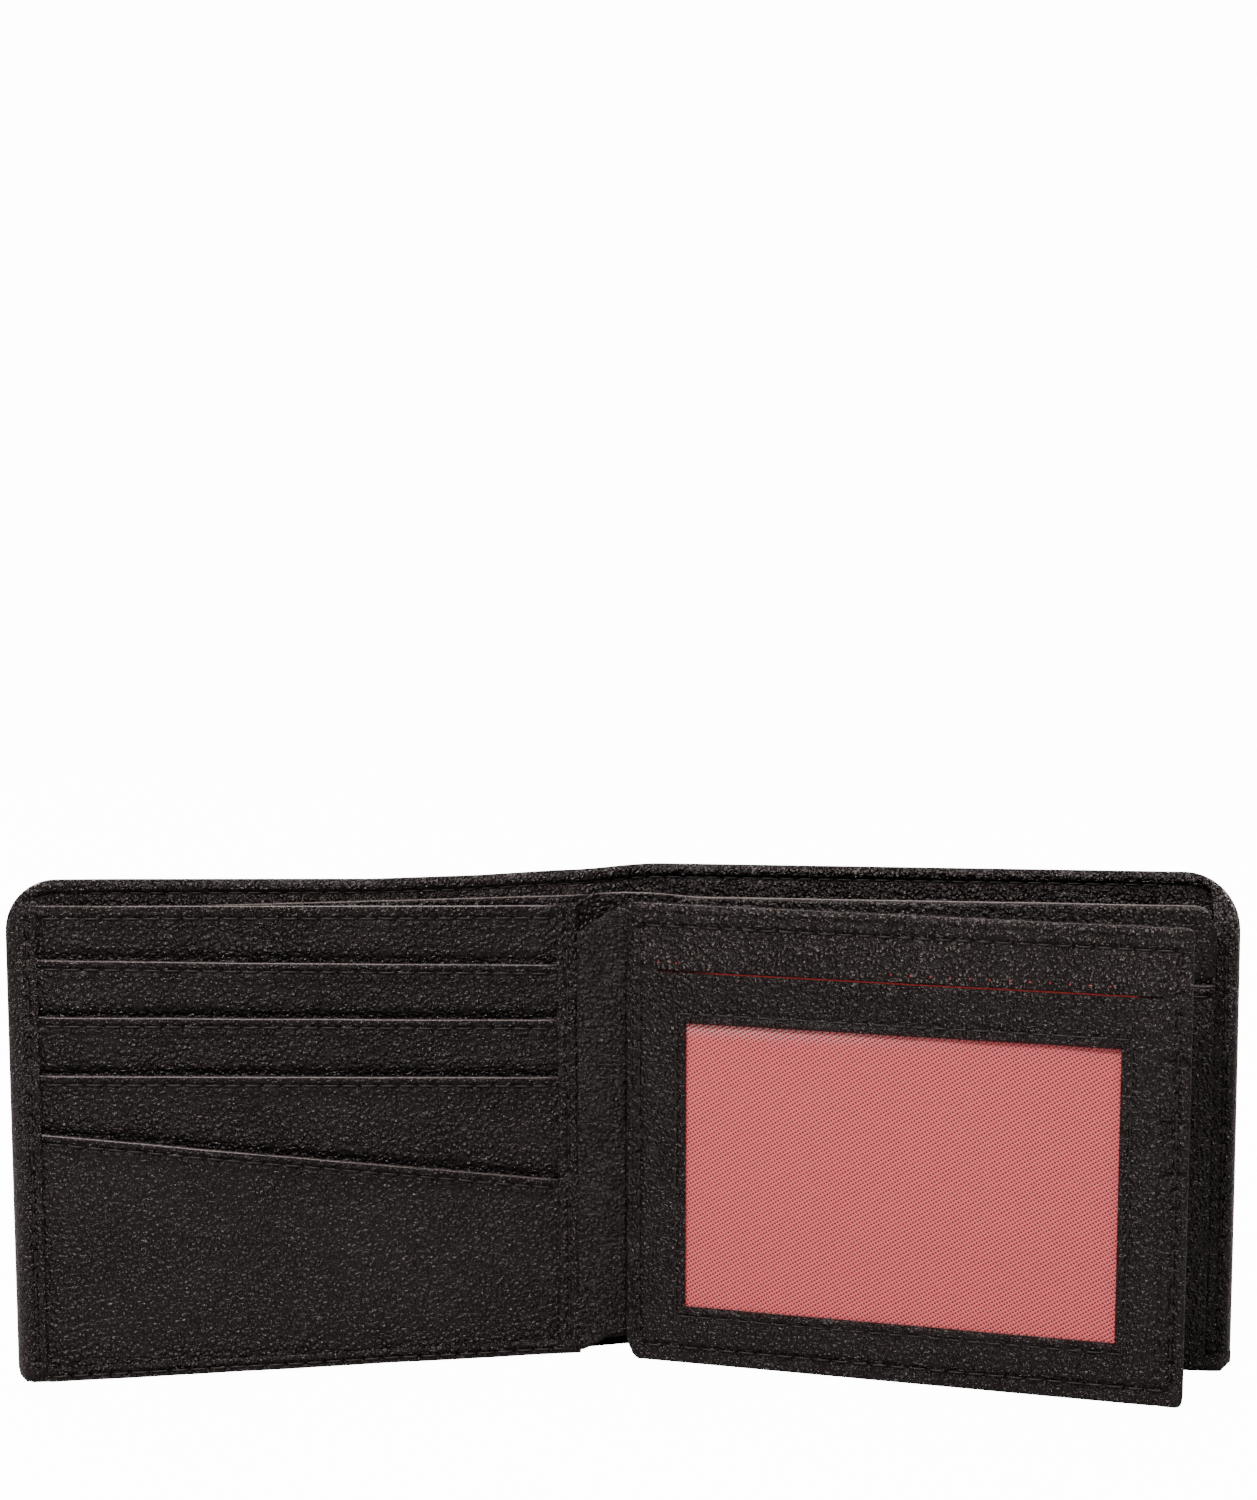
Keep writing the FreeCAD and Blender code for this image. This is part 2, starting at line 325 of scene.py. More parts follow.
# ---- materials ---------------------------------------------------------------------------------
class Graph:
    """Short way to build the nodes of a material or of the world."""

    def __init__(self, owner):
        self.owner = owner
        owner.use_nodes = True
        self.tree = owner.node_tree
        self.tree.nodes.clear()

    def feed(self, slot, value):
        """Link a socket to an input, or set the input to a constant."""
        if isinstance(value, bpy.types.NodeSocket):
            self.tree.links.new(value, slot)
        else:
            slot.default_value = value

    def add(self, kind, settings=None, **inputs):
        node = self.tree.nodes.new("ShaderNode" + kind)
        for key, value in (settings or {}).items():
            setattr(node, key, value)
        for key, value in inputs.items():
            self.feed(node.inputs[key.replace("_", " ")], value)
        return node

    def math(self, operation, *values, kind="Math"):
        node = self.add(kind, {"operation": operation})
        for slot, value in zip(node.inputs, values):
            self.feed(slot, value)
        return node.outputs[0]

    def ramp(self, value, low, high, to_low=0.0, to_high=1.0):
        node = self.add("MapRange", {"interpolation_type": "SMOOTHSTEP"}, Value=value)
        for key, number in zip(("From Min", "From Max", "To Min", "To Max"), (low, high, to_low, to_high)):
            node.inputs[key].default_value = number
        return node.outputs[0]

    def mix(self, factor, first, second):
        """Mix of two colours, each a socket or its red, green and blue."""
        node = self.add("Mix", {"data_type": "RGBA"}, Factor=factor)
        for key, value in ((6, first), (7, second)):
            self.feed(node.inputs[key], (*value, 1.0) if isinstance(value, tuple) else value)
        return node.outputs[2]

    def place(self, shift=0.0, turn=0.0, scale=(1.0, 1.0, 1.0)):
        """Surface coordinates in millimetres, scaled along each axis."""
        where = self.add("TexCoord").outputs["Object"]
        mapping = self.add("Mapping", Vector=where)
        mapping.inputs["Location"].default_value = (shift, 1.7 * shift, 0.6 * shift)
        mapping.inputs["Rotation"].default_value = (0.0, turn, 0.0)
        mapping.inputs["Scale"].default_value = tuple(s / MM for s in scale)
        return mapping.outputs[0]

    def noise(self, where, scale, detail, output="Fac", **more):
        return self.add("TexNoise", Vector=where, Scale=scale, Detail=detail, **more).outputs[output]

    def cells(self, where, scale, feature="F1"):
        return self.add("TexVoronoi", {"feature": feature}, Vector=where, Scale=scale).outputs["Distance"]

    def wave(self, where, direction, scale, distortion):
        return self.add("TexWave", {"bands_direction": direction}, Vector=where, Scale=scale,
                        Distortion=distortion).outputs["Fac"]

    def relief(self, strength, distance, height):
        return self.add("Bump", Strength=strength, Distance=distance * MM, Height=height).outputs[0]

    def blend(self, factor, first, second):
        """Mix of two shaders."""
        node = self.add("MixShader", Fac=factor)
        self.feed(node.inputs[1], first.outputs[0])
        self.feed(node.inputs[2], second.outputs[0])
        return node

    def finish(self, shader, kind="OutputMaterial"):
        self.tree.links.new(shader.outputs[0], self.add(kind).inputs["Surface"])
        return self.owner


def new_graph(name):
    return Graph(bpy.data.materials.new(name))


def leather(name, shift=0.0, depth=0.36, pebble=1.22, wrinkle=0.25, tops=(0.0135, 0.0078, 0.0078),
            crease_tone_and_shade=(0.0001, 0.0001, 0.0001), gloss=0.17, painted_glint=0.05, painted_glint_height=200.0):
    """Pebbled, finely wrinkled leather, nearly black, with its creases nearly black, partly as the grain's
    own colour and partly as painted shade. Its last two arguments set the painted glints on the tops of its
    pebbles: how strong they are everywhere, and the height above which they are all strong."""
    g = new_graph(name)
    spot = g.place(shift)
    warp = g.noise(spot, 0.9, 2.0, "Color")
    bent = g.math("MULTIPLY_ADD", warp, (0.9, 0.9, 0.9), spot, kind="VectorMath")
    cells = g.cells(bent, pebble)
    edges = g.cells(bent, pebble, "DISTANCE_TO_EDGE")
    fine = g.cells(bent, pebble * 2.2)
    dome = g.ramp(g.math("MULTIPLY", cells, cells), 0.0, 0.42, 1.0, 0.0)
    small = g.ramp(fine, 0.0, 0.7, 1.0, 0.0)
    level = g.place(shift + 3.0, scale=(0.33, 0.33, 1.3))
    folds = g.noise(level, 1.0, 5.0, Roughness=0.62, Distortion=0.6)
    patch = g.noise(spot, 0.09, 3.0)
    crumb = g.noise(spot, 4.5, 3.0, Roughness=0.6)
    weight = g.ramp(patch, 0.35, 0.65, 0.7, 1.1)
    height = g.math("MULTIPLY", g.math("MULTIPLY_ADD", small, 0.40, dome), weight)
    height = g.math("MULTIPLY_ADD", folds, wrinkle * 2.2, height)
    height = g.math("MULTIPLY_ADD", crumb, 0.18, height)
    bump = g.relief(1.0, depth, height)
    # The creases between the pebbles are darkened nearly to black: partly the grain's own colour, partly
    # painted shade.
    hollow = g.math("MULTIPLY", g.ramp(edges, 0.03, 0.16), g.ramp(small, 0.0, 0.6, 0.4, 1.0))
    tone = g.mix(hollow, crease_tone_and_shade, tops)
    cloudy = g.ramp(g.noise(spot, 0.16, 4.0), 0.3, 0.75, 0.0, 0.40)
    tone = g.mix(cloudy, tone, tuple(0.4 * c for c in tops))
    # Painted highlight: the tops of the pebbles are lightened to stand for glints, weakly everywhere and
    # strongly above the given height.
    above = g.add("SeparateXYZ", Vector=g.place()).outputs["Z"]
    amount = g.math("MULTIPLY_ADD", g.ramp(above, painted_glint_height, painted_glint_height + 4.0), 0.9, painted_glint)
    peak = g.ramp(g.math("MULTIPLY", dome, small), 0.38, 0.66)
    tone = g.mix(g.math("MULTIPLY", peak, amount), tone, (0.26, 0.235, 0.22))
    rough = g.ramp(g.math("MULTIPLY_ADD", crumb, 0.5, hollow), 0.2, 1.4, gloss + 0.22, gloss)
    return g.finish(g.add("BsdfPrincipled", Base_Color=tone, Roughness=rough, Normal=bump,
                          Specular_IOR_Level=0.42))


def cut_edge(name, dark=(0.026, 0.022, 0.020), light=(0.115, 0.10, 0.094), rough=0.5):
    """Bare or worn edge of leather: a little lighter, fibrous. Laid on the first rows of a lip, it is also a
    painted highlight.
    """
    g = new_graph(name)
    fibre = g.noise(g.place(2.0), 2.4, 4.0, Roughness=0.7)
    tone = g.mix(g.ramp(fibre, 0.40, 0.62), dark, light)
    bump = g.relief(0.6, 0.05, fibre)
    return g.finish(g.add("BsdfPrincipled", Base_Color=tone, Roughness=rough, Normal=bump))


def thread_material(name):
    """Twisted black sewing thread."""
    g = new_graph(name)
    twist = g.wave(g.place(0.5), "DIAGONAL", 1.6, 1.0)
    tone = g.mix(twist, (0.006, 0.005, 0.005), (0.022, 0.019, 0.018))
    bump = g.relief(0.7, 0.04, twist)
    return g.finish(g.add("BsdfPrincipled", Base_Color=tone, Roughness=0.5, Normal=bump))


WAVE_SCALE = 0.314            # of a wave texture that has one rib in each millimetre


def woven(name, turn, first, second, pitch):
    """Twill cloth: slanting ribs crossed by finer threads."""
    g = new_graph(name)
    ribs = g.wave(g.place(0.0, turn), "Z", WAVE_SCALE / pitch, 0.25)
    cross = g.wave(g.place(0.7, turn), "X", WAVE_SCALE / (pitch * 0.86), 0.3)
    weave = g.math("MULTIPLY_ADD", cross, 0.42, g.math("MULTIPLY", ribs, 0.58))
    uneven = g.math("MULTIPLY_ADD", g.noise(g.place(1.0), 2.0, 3.0), 0.16, weave)
    tone = g.mix(g.ramp(uneven, 0.33, 0.50), first, second)
    bump = g.relief(0.9, 0.12, weave)
    return g.finish(g.add("BsdfPrincipled", Base_Color=tone, Roughness=0.6, Normal=bump, Sheen_Weight=0.25))


def film_material(name):
    """Clear flexible window, faintly ribbed by the cloth it is pressed on, with a whitish glare painted on
    its ribs along the top edge.
    """
    g = new_graph(name)
    ribs = g.wave(g.place(0.0, TWILL_TURN), "Z", WAVE_SCALE / TWILL_PITCH, 0.2)
    sag = g.noise(g.place(4.0), 0.12, 2.0)
    height = g.math("MULTIPLY_ADD", sag, 1.5, g.math("MULTIPLY", ribs, 0.8))
    clear = g.add("BsdfTransparent", Color=(0.98, 0.95, 0.95, 1.0))
    bump = g.relief(0.7, 0.05, height)
    haze_and_painted_glare = g.add("BsdfPrincipled", Base_Color=(0.90, 0.50, 0.50, 1.0), Roughness=0.28, Normal=bump)
    # Painted reflection: the ribs along the window's top edge are whitened as glare, fading along the
    # window, over a faint even haze.
    across = g.add("SeparateXYZ", Vector=g.place())
    top = g.ramp(across.outputs[2], WINDOW[3] - 3.2, WINDOW[3] - 0.2)
    fade = g.ramp(across.outputs[0], 14.0, 66.0, 1.0, 0.12)
    painted_glare = g.math("MULTIPLY", g.math("MULTIPLY", top, fade), g.ramp(ribs, 0.35, 0.9))
    return g.finish(g.blend(g.math("MULTIPLY_ADD", painted_glare, 0.66, 0.04), clear, haze_and_painted_glare))


TWILL_TURN = math.radians(33.0)
TWILL_PITCH = 0.64

outer_leather = leather("outer_leather", shift=0.0)
wall_leather = leather("wall_leather", shift=7.0)
pocket_leathers = [leather("pocket_leather_%d" % k, shift=11.0 + 5 * k) for k in range(4)]
# The flap, slip, hinge and hem leathers carry stronger painted glints on their pebble tops.
flap_leather = leather("flap_leather", shift=41.0, depth=0.40, gloss=0.15, painted_glint_height=SLIT - 3.0)
slip_leather = leather("slip_leather", shift=71.0, depth=0.44, gloss=0.15, painted_glint=0.5)
hinge_leather = leather("hinge_leather", shift=53.0, depth=0.52, wrinkle=0.7, painted_glint=0.30)
hem_leather = leather("hem_leather", shift=61.0, depth=0.44, gloss=0.14, painted_glint=0.5)
edge_leather = cut_edge("cut_edge")
# Lip colour: partly edge wear, partly a painted highlight along the lips of the pockets.
lip_wear_and_highlight = cut_edge("lip_wear_and_highlight", (0.004, 0.003, 0.003), (0.085, 0.072, 0.068), 0.30)
red_thread = cut_edge("red_thread", (0.45, 0.02, 0.02), (0.8, 0.06, 0.05), 0.5)
thread = thread_material("sewing_thread")
red_twill = woven("red_twill", TWILL_TURN, (0.05, 0.001, 0.001), (1.0, 0.150, 0.180), TWILL_PITCH)
dark_cloth = woven("dark_lining", math.radians(45), (0.008, 0.007, 0.007), (0.022, 0.020, 0.020), 0.4)
film = film_material("window_film")


# ---- the cover: one skin round the spine ------------------------------------------------------
def left_plan(u, d):
    point = place("left", np.array(float(u)), np.array(float(d)), np.array(0.0))
    return (point - np.array(AXIS))[:2] / MM


def bezier(a, b, left_way, right_way, bulge):
    """Plan line of the cover round the spine."""
    pull = np.linalg.norm(b - a) * bulge
    t = np.linspace(0, 1, 41)[:, None]
    return ((1 - t) ** 3 * a + 3 * (1 - t) ** 2 * t * (a + left_way * pull)
            + 3 * (1 - t) * t ** 2 * (b - right_way * pull) + t ** 3 * b)


def curve_through(points, count=8):
    """Smooth plan line through all the points."""
    p = np.array(points)
    p = np.concatenate([[2 * p[0] - p[1]], p, [2 * p[-1] - p[-2]]])
    line = []
    for k in range(1, len(p) - 2):
        for t in np.arange(count) / count:
            line.append(0.5 * (2 * p[k] + (p[k + 1] - p[k - 1]) * t
                               + (2 * p[k - 1] - 5 * p[k] + 4 * p[k + 1] - p[k + 2]) * t ** 2
                               + (3 * p[k] - p[k - 1] - 3 * p[k + 1] + p[k + 2]) * t ** 3))
    return np.array(line + [p[-2]])


def lean_share(z):
    """How much of the right cover's lean is reached at a height."""
    return np.clip(z / RIGHT_TOP, 0, 1.1) ** 1.6


class Skin:
    """Sheet that runs from the outer edge of the left half, round the spine, to the right."""

    def __init__(self, left, right, middle, lean):
        left_end, left_join, left_depth = left
        right_end, right_join, right_depth = right
        self.start = left_plan(left_join, left_depth)
        self.end = np.array([right_join, right_depth])
        left_way = left_plan(0.0, 0.0) - left_plan(1.0, 0.0)
        right_way = np.array([1.0, 0.0])
        if middle is None:
            curve = bezier(self.start, self.end, left_way, right_way, 0.36)
        else:
            curve = curve_through([self.start] + middle + [self.end])
        first = self.start - left_way * (left_end - left_join)
        last = self.end + right_way * (right_end - right_join)
        self.line = np.concatenate([[first], curve, [last]])
        steps = np.linalg.norm(np.diff(self.line, axis=0), axis=1)
        self.lengths = np.concatenate([[0.0], np.cumsum(steps)])
        self.total = self.lengths[-1]
        self.spine_start = left_end - left_join
        self.spine_end = self.total - (right_end - right_join)
        self.lean = lean

    def plan(self, s):
        """Plan points at lengths s along the line."""
        return [np.interp(s, self.lengths, self.line[:, axis]) for axis in (0, 1)]

    def at(self, s):
        """Plan points and normals towards the viewer at lengths s along the line."""
        x, y = self.plan(s)
        reach = 0.6
        dx, dy = np.subtract(self.plan(s + reach), self.plan(s - reach))
        size = np.hypot(dx, dy)
        return x, y, dy / size, -dx / size

    def points(self, s, depth, z):
        """Points at a depth in front of the line."""
        x, y, nx, ny = self.at(s)
        right = smooth(s, self.spine_start, self.spine_end)
        back = self.lean * right * lean_share(z)
        flat = np.stack([x + nx * depth, y + ny * depth + back, z], -1)
        return flat * MM + np.array(AXIS)

    def bend(self, piece, slot, *nodes):
        """Bake a piece's transform into its mesh, and settle what it stands for."""
        start = Vector((*self.start, 0.0)) * MM + AXIS
        end = Vector((*self.end, 0.0)) * MM + AXIS
        start.z = end.z = 0.0
        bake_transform(piece)
        return settle(piece, None, slot, *nodes)

    def sheet(self, name, s, near, far, z, materials, slot, nodes, wear_and_highlight_rows=0):
        """Closed sheet between two depths, which runs round the spine."""
        piece = closed_sheet(name, self.points(s, near, z), self.points(s, far, z), materials, wear_and_highlight_rows=wear_and_highlight_rows)
        return self.bend(piece, slot, *nodes)


COVER_JOIN_RIGHT = 5.0
cover = Skin((HALF, SPINE_JOIN, LEFT_BACK), (HALF, COVER_JOIN_RIGHT, RIGHT_BACK), None, LEAN)


def side_gap(s):
    """Distance along the cover to its nearer outer edge."""
    return np.minimum(s, cover.total - s)


def cover_top(s):
    """Height of the cover's top edge before its corners are rounded. It dips on the left half."""
    places = [6.0, HALF - 90.0, HALF - 45.0, HALF - 26.0, HALF - 12.0, cover.spine_end]
    heights = [LEFT_TOP + 1.5, LEFT_TOP + 1.25, LEFT_TOP + 0.05, LEFT_TOP + 0.2, LEFT_TOP + 0.7, RIGHT_TOP]
    return np.interp(s, places, heights)


def cover_corner(s):
    """Radius of the nearer top corner."""
    return np.where(s < cover.total / 2, LEFT_CORNER, CORNER)


def corner_drop(gap, radius):
    """How far a rounded corner pulls the edge in, at a distance from the side."""
    near = np.clip(radius - gap, 0, radius)
    return radius - np.sqrt(radius ** 2 - near ** 2)


def cover_outline(s, share):
    """Height at a share of the way up the cover, from its bottom edge to its top edge."""
    gap = side_gap(s)
    top = cover_top(s) - corner_drop(gap, cover_corner(s))
    low = corner_drop(gap, FOOT)
    return low + (top - low) * share


def cover_rim_distance(s, z):
    """Distance to the cover's rounded outline."""
    gap = side_gap(s)
    top = cover_top(s)
    straight = np.minimum(gap, np.minimum(z, top - z))
    radius = cover_corner(s)
    past = (gap < radius) & (z > top - radius)
    upper = radius - np.hypot(radius - gap, z - top + radius)
    below = (gap < FOOT) & (z < FOOT)
    lower = FOOT - np.hypot(FOOT - gap, FOOT - z)
    return np.maximum(0, np.where(past, upper, np.where(below, lower, straight)))


def cover_columns(step, marks=()):
    turns = [CORNER * (1 - math.cos(math.radians(a))) for a in range(6, 91, 6)]
    near = [0.04, 0.12] + turns
    far = [cover.total - t for t in near]
    middle = [cover.spine_start + k for k in range(int(cover.spine_end - cover.spine_start) + 1)]
    return stops(0.0, cover.total, step, near + far + middle + list(marks))


COVER_SEAM = 3.4             # distance of the outside stitches from the cover's edge
GROOVE = 2.35                # top edge to the sewn groove in the leather turned in there
GROOVE_START = 16.0          # where its dents start, from either side
THREAD_START = 14.0
LINING_INSET = 2.0
LINING_FOOT = 1.6
LINING_TOP = 5.0             # from the cover's top edge down to the lining's


def cover_soft(s, z):
    return 0.30 * ripple(s, z, 2.0, 1.6) * smooth(cover_rim_distance(s, z), 0.0, 12.0)


def make_cover():
    columns = cover_columns(1.5, needle_marks(COVER_SEAM + 8, cover.total - COVER_SEAM - 8))
    shares = stops(0.0, 1.0, 0.02, [0.002, 0.006, 0.012, 0.02, 0.030, 0.038, 0.046,
                                   0.998, 0.994, 0.988, 0.98, 0.970, 0.962, 0.954])
    s, share = grid(columns, shares)
    z = cover_outline(s, share)
    rim = cover_rim_distance(s, z)
    soft = cover_soft(s, z)
    dent = seam_dent(s, rim - COVER_SEAM, COVER_SEAM, cover.total - COVER_SEAM)
    outer = rolled(rim, 1.25) + soft + dent * 0.8
    inner = LEATHER - 0.04 * rolled(rim, 1.0) + soft
    cover.sheet("cover_skin", s, outer, inner, z, [outer_leather], "outer_leather",
                ["cover_left", "cover_spine", "cover_right"])


def make_turned_edge():
    """Cover leather turned in along the top: a rounded bead, a sewn groove and a flat band."""
    columns = stops(3.0, cover.total - 3.0, 1.35, needle_marks(GROOVE_START, cover.total - GROOVE_START))
    drops = np.array([0.03, 0.1, 0.25, 0.5, 0.8, 1.15, 1.5, 1.8, 2.05, 2.2, 2.35, 2.5, 2.75, 3.1, 3.6,
                      4.3, 5.2, 6.2, 6.9, 7.3, 7.5])
    s, drop = grid(columns, drops)
    gap = side_gap(s)
    z = cover_top(s) - corner_drop(gap, cover_corner(s)) - drop
    bead = 1.25 + 1.25 * np.sqrt(np.clip(1 - ((drop - 1.15) / 1.22) ** 2, 0, 1))
    band = 2.15 + 0.14 * np.sin(np.clip((drop - GROOVE) / 4.6, 0, 1) * math.pi) - rolled(7.55 - drop, 0.6)
    front = np.where(drop < 2.3, np.maximum(bead, 1.6), band)
    front = front - 0.45 * bell(drop - GROOVE, 0.28) + 0.10 * ripple(s, z * 0.5, 5.0, 0.5)
    front = front - 0.5 * seam_dent(s, drop - GROOVE, GROOVE_START, cover.total - GROOVE_START)
    back = np.full_like(front, 1.05)
    cover.sheet("cover_turned_edge", s, front, back, z, [hem_leather], "outer_leather",
                ["cover_top_hem_left", "cover_top_hem_right"])


def make_cover_lining():
    """Thin cloth glued inside the cover."""
    columns = cover_columns(3.0)
    columns = columns[(columns > LINING_INSET) & (columns < cover.total - LINING_INSET)]
    s, share = grid(columns, np.linspace(0.0, 1.0, 24))
    top = cover_top(s) - LINING_TOP - np.maximum(0, corner_drop(side_gap(s), cover_corner(s)) - 3.0)
    z = LINING_FOOT + (top - LINING_FOOT) * share
    soft = cover_soft(s, z)
    piece = cover.sheet("cover_lining_cloth", s, LEATHER + 0.24 + soft, LEATHER + 0.04 + soft, z,
                        [dark_cloth], "dark_lining", ["cover_lining_left", "cover_lining_right"])


def make_cover_threads():
    """Stitches on the outside of the cover and in the groove of its turned edge."""
    count = round((cover.total - 2 * THREAD_START) / STITCH)
    s = np.linspace(THREAD_START, cover.total - THREAD_START, count + 1)
    top = cover_top(s)
    nx, ny = cover.at(s)[2:]
    rows = {
        "thread_cover_top_back": (cover.points(s, np.full_like(s, 0.07), top - COVER_SEAM), -1.0),
        "thread_cover_groove": (cover.points(s, np.full_like(s, 1.78), top - GROOVE), 1.0),
    }
    for name, (holes, side) in rows.items():
        ways = np.stack([side * nx, side * ny, 0 * nx], -1)
        cover.bend(stitches(name, holes[:-1], holes[1:], ways[:-1], thread), "thread")


# ---- the left half: an inner wall with four card pockets before it -----------------------------
POCKET_END = HALF - 2.6
POCKET_START = INNER_EDGE + BINDING
HEM_LINE = HALF - HEM
WALL_LEFT = POCKET_FRONT + 4 * PITCH
WALL_RIGHT = RIGHT_FRONT + 0.9
WALL_CORNER = 3.8            # rounding of the wall's outer top corner
LIP_SLOPE = 0.042            # the lips fall towards the fold
LIP_DROPS = [0.0, 0.06, 0.16, 0.34, 0.5, 0.7, 0.95, 1.25, 1.6, 1.95, 2.3, 2.7, 3.2, 4.0, 5.0, 6.5]
LIP_SEAM = 1.6               # lip to its stitches
LIP_SPAN = (INNER_EDGE + 5.5, POCKET_END - 3.5)
BOW = 0.4                    # how far the middle of a lip stands forward


def lip_height(k, u):
    """Height of a left pocket's lip. Pocket 3, the foremost, is the slanted one."""
    if k == 3:
        share = (u - INNER_EDGE) / (POCKET_END - INNER_EDGE)
        return LOW_LIP[1] + (LOW_LIP[0] - LOW_LIP[1]) * share
    return LIPS[k] + LIP_SLOPE * (u - (INNER_EDGE + POCKET_END) / 2)


def stack_front(u, z):
    """Depth of the left half's surface, which steps back above each lip."""
    depth = POCKET_FRONT
    for k in range(4):
        depth = depth + PITCH * smooth(z - lip_height(k, u), -2.0, 2.0)
    return depth


def swell(u):
    """How full a left lip's bow is: none at its sewn ends, 1 in the middle."""
    share = np.clip((u - POCKET_START) / (HEM_LINE - POCKET_START), 0, 1)
    return np.sin(share * math.pi) ** 0.7


def open_stretch(u):
    """1 where a left lip is free, 0 where the binding and the hem hold it."""
    return smooth(u, POCKET_START - 0.6, POCKET_START + 1.6) * smooth(HEM_LINE - u, -0.6, 1.6)


def left_soft(u, z):
    return 0.28 * ripple(u, z, 1.0)


def right_soft(u, z):
    return 0.28 * ripple(u, z, 3.0)


def lip_grid(us, lip, foot, deep, step, coarse):
    """Grid over a pocket from its lip, at the height lip(u), to its foot: u, z and the drop below
    the lip. Its rows are fine as far down as deep, and coarse below."""
    fine = stops(LIP_DROPS[-1], deep, step)[1:].tolist()
    rows = np.array(LIP_DROPS + fine + [deep + (i + 1) / coarse for i in range(coarse)])
    u, row = grid(us, rows)
    top = lip(u)
    drop = np.where(row <= deep, row, deep + (row - deep) * (top - foot - deep))
    return u, top - drop, drop


def tuck(u, z, first):
    """How far a layer of the left half is pulled in where it goes behind the lips before it."""
    depth = 0.0
    for k in range(first, 4):
        depth = depth + 0.70 * bell(z - lip_height(k, u), 1.1)
    return depth


def left_layer(name, lip, foot, rows, depth, thick, bow, seam, span, first, face, nodes=(), grain=0.0):
    """Layer of the left half with a lip that is folded over, sewn and bowed a little. first is the
    highest pocket in front of it, face its leather and grain the seed of its own unevenness."""
    us = stops(INNER_EDGE + 0.6, POCKET_END, 1.6, needle_marks(*span))
    u, z, drop = lip_grid(us, lip, foot, *rows)
    bulge = bow * swell(u) * bell(drop, 5.0)
    middle = open_stretch(u)
    fold = 0.3 * (1 - smooth(drop, seam + 0.8, seam + 1.6)) * middle - 0.2 * (1 - middle)
    soft = left_soft(u, z) + tuck(u, z, first)
    if grain:
        soft = soft + 0.07 * ripple(u, z, grain, 0.25) * smooth(drop, 2.0, 6.0)
    near = depth - bulge - fold + rolled(drop, 0.42) + seam_dent(u, drop - seam, *span) + soft
    far = depth + thick - bulge - 0.5 * rolled(drop, 0.3) + soft
    # The first two rows of the lip take the lighter lip colour: partly wear, partly a painted highlight.
    leaf_piece(name, "left", u, near, far, z, [face, lip_wear_and_highlight], nodes, wear_and_highlight_rows=2)


def make_left_pocket(k):
    rows = ((12.0, 12.0, 22.0, 8.0)[k], 0.5, 22 if k == 3 else 7)
    left_layer("card_pocket_leather_%d" % (k + 1), lambda u: lip_height(k, u), 2.2, rows,
               POCKET_FRONT + PITCH * (3 - k), 0.5, BOW, LIP_SEAM, LIP_SPAN, k + 1, pocket_leathers[k],
               ["card_pocket_%d" % (k + 1)], 9.0 + k)


def pocket_lip_stitches():
    """Stitches along all the lips of the left half."""
    rows = [tuple((u, lip_height(k, u) - LIP_SEAM) for u in LIP_SPAN) for k in range(4)]

    def depth(u, z):
        bow = BOW * swell(u) * bell(LIP_SEAM, 5.0)
        below = sum(1 for k in range(4) if z[0] > lip_height(k, u[0]))
        return POCKET_FRONT + PITCH * below - 0.3 - bow + left_soft(u, z) + 0.16

    leaf_stitches("stitches_left_lips", "left", rows, depth)


inner_wall = Skin(
    (POCKET_END, SPINE_JOIN, WALL_LEFT + 0.55), (HALF - RIGHT_HEM, 12.5, WALL_RIGHT),
    [np.array(p) for p in ((-9.5, 3.1), (-7.2, 4.5), (-3.6, 5.9), (1.5, 6.6), (6.0, 5.6), (8.9, 4.2))], 0.0)


def make_inner_wall():
    """One sheet of leather: the left note wall, the lining of the spine and the right wall."""
    step = 0.8
    count = int((inner_wall.spine_end - inner_wall.spine_start) / step) + 1
    columns = stops(0.0, inner_wall.total, 1.9, [inner_wall.spine_start + k * step for k in range(count)])
    rows = np.array(LIP_DROPS + [8.0, 9.5, 11.0, 12.2, 13.5, 16] + [18 + 8 * i for i in range(8)] + [82.2])
    s, drop = grid(columns, rows)
    rounding = corner_drop(inner_wall.total - s, WALL_CORNER)
    z = INNER_TOP - drop - rounding * np.clip(1 - drop / 15.0, 0, 1)
    u = POCKET_END - s
    right = smooth(s, inner_wall.spine_start, inner_wall.spine_end)
    soft = left_soft(u, z) * (1 - right) + right_soft(s - inner_wall.total + HALF - RIGHT_HEM, z) * right
    near = 0.1 - rolled(drop, 0.5) - soft
    far = -0.5 + 0.5 * rolled(drop, 0.4) - soft
    # The first rows of the wall's top edge take the lighter cut edge: partly the bare edge, partly a painted
    # highlight.
    inner_wall.sheet("inner_wall", s, near, far, z, [wall_leather, edge_leather], "inner_leather",
                     ["note_wall_left", "spine_lining", "note_wall_right"], wear_and_highlight_rows=2)


FACING_SEAM = (POCKET_START + 1.0, POCKET_END - 3.5)
FACING_LINE = 2.3            # top edge to its stitches


def facing_top(u):
    """Top edge of the left facing, which falls towards the fold."""
    return 82.9 + 0.028 * (u - 10.0)


def make_left_facing():
    """Leather facing above the pockets, sewn to the inner wall."""
    left_layer("left_facing", facing_top, 66.0, (12.5, 0.5, 3), WALL_LEFT, 0.42, 0.30, FACING_LINE,
               FACING_SEAM, 0, wall_leather)


def quarter(x):
    """Quarter-round from 0 to 1."""
    x = np.clip(x, 0, 1)
    return 1 - np.sqrt(1 - 0.985 * x * x)


LEFT_BACK_REACH = LEFT_BACK - LEATHER - 0.15
SIDE_LINE = HEM_LINE + 1.7    # the left half's lines of stitches, and where each starts and ends
OUTER_SEAM = (BOTTOM_HEM + 1.0, 83.0)
BOTTOM_LINE = 1.75
BOTTOM_SEAM = (INNER_EDGE + 2.0, HEM_LINE - 0.5)
BINDING_LINE = INNER_EDGE + 2.2
INNER_SEAM = (BOTTOM_HEM + 1.0, 81.5)
BINDING_TOP = 83.3


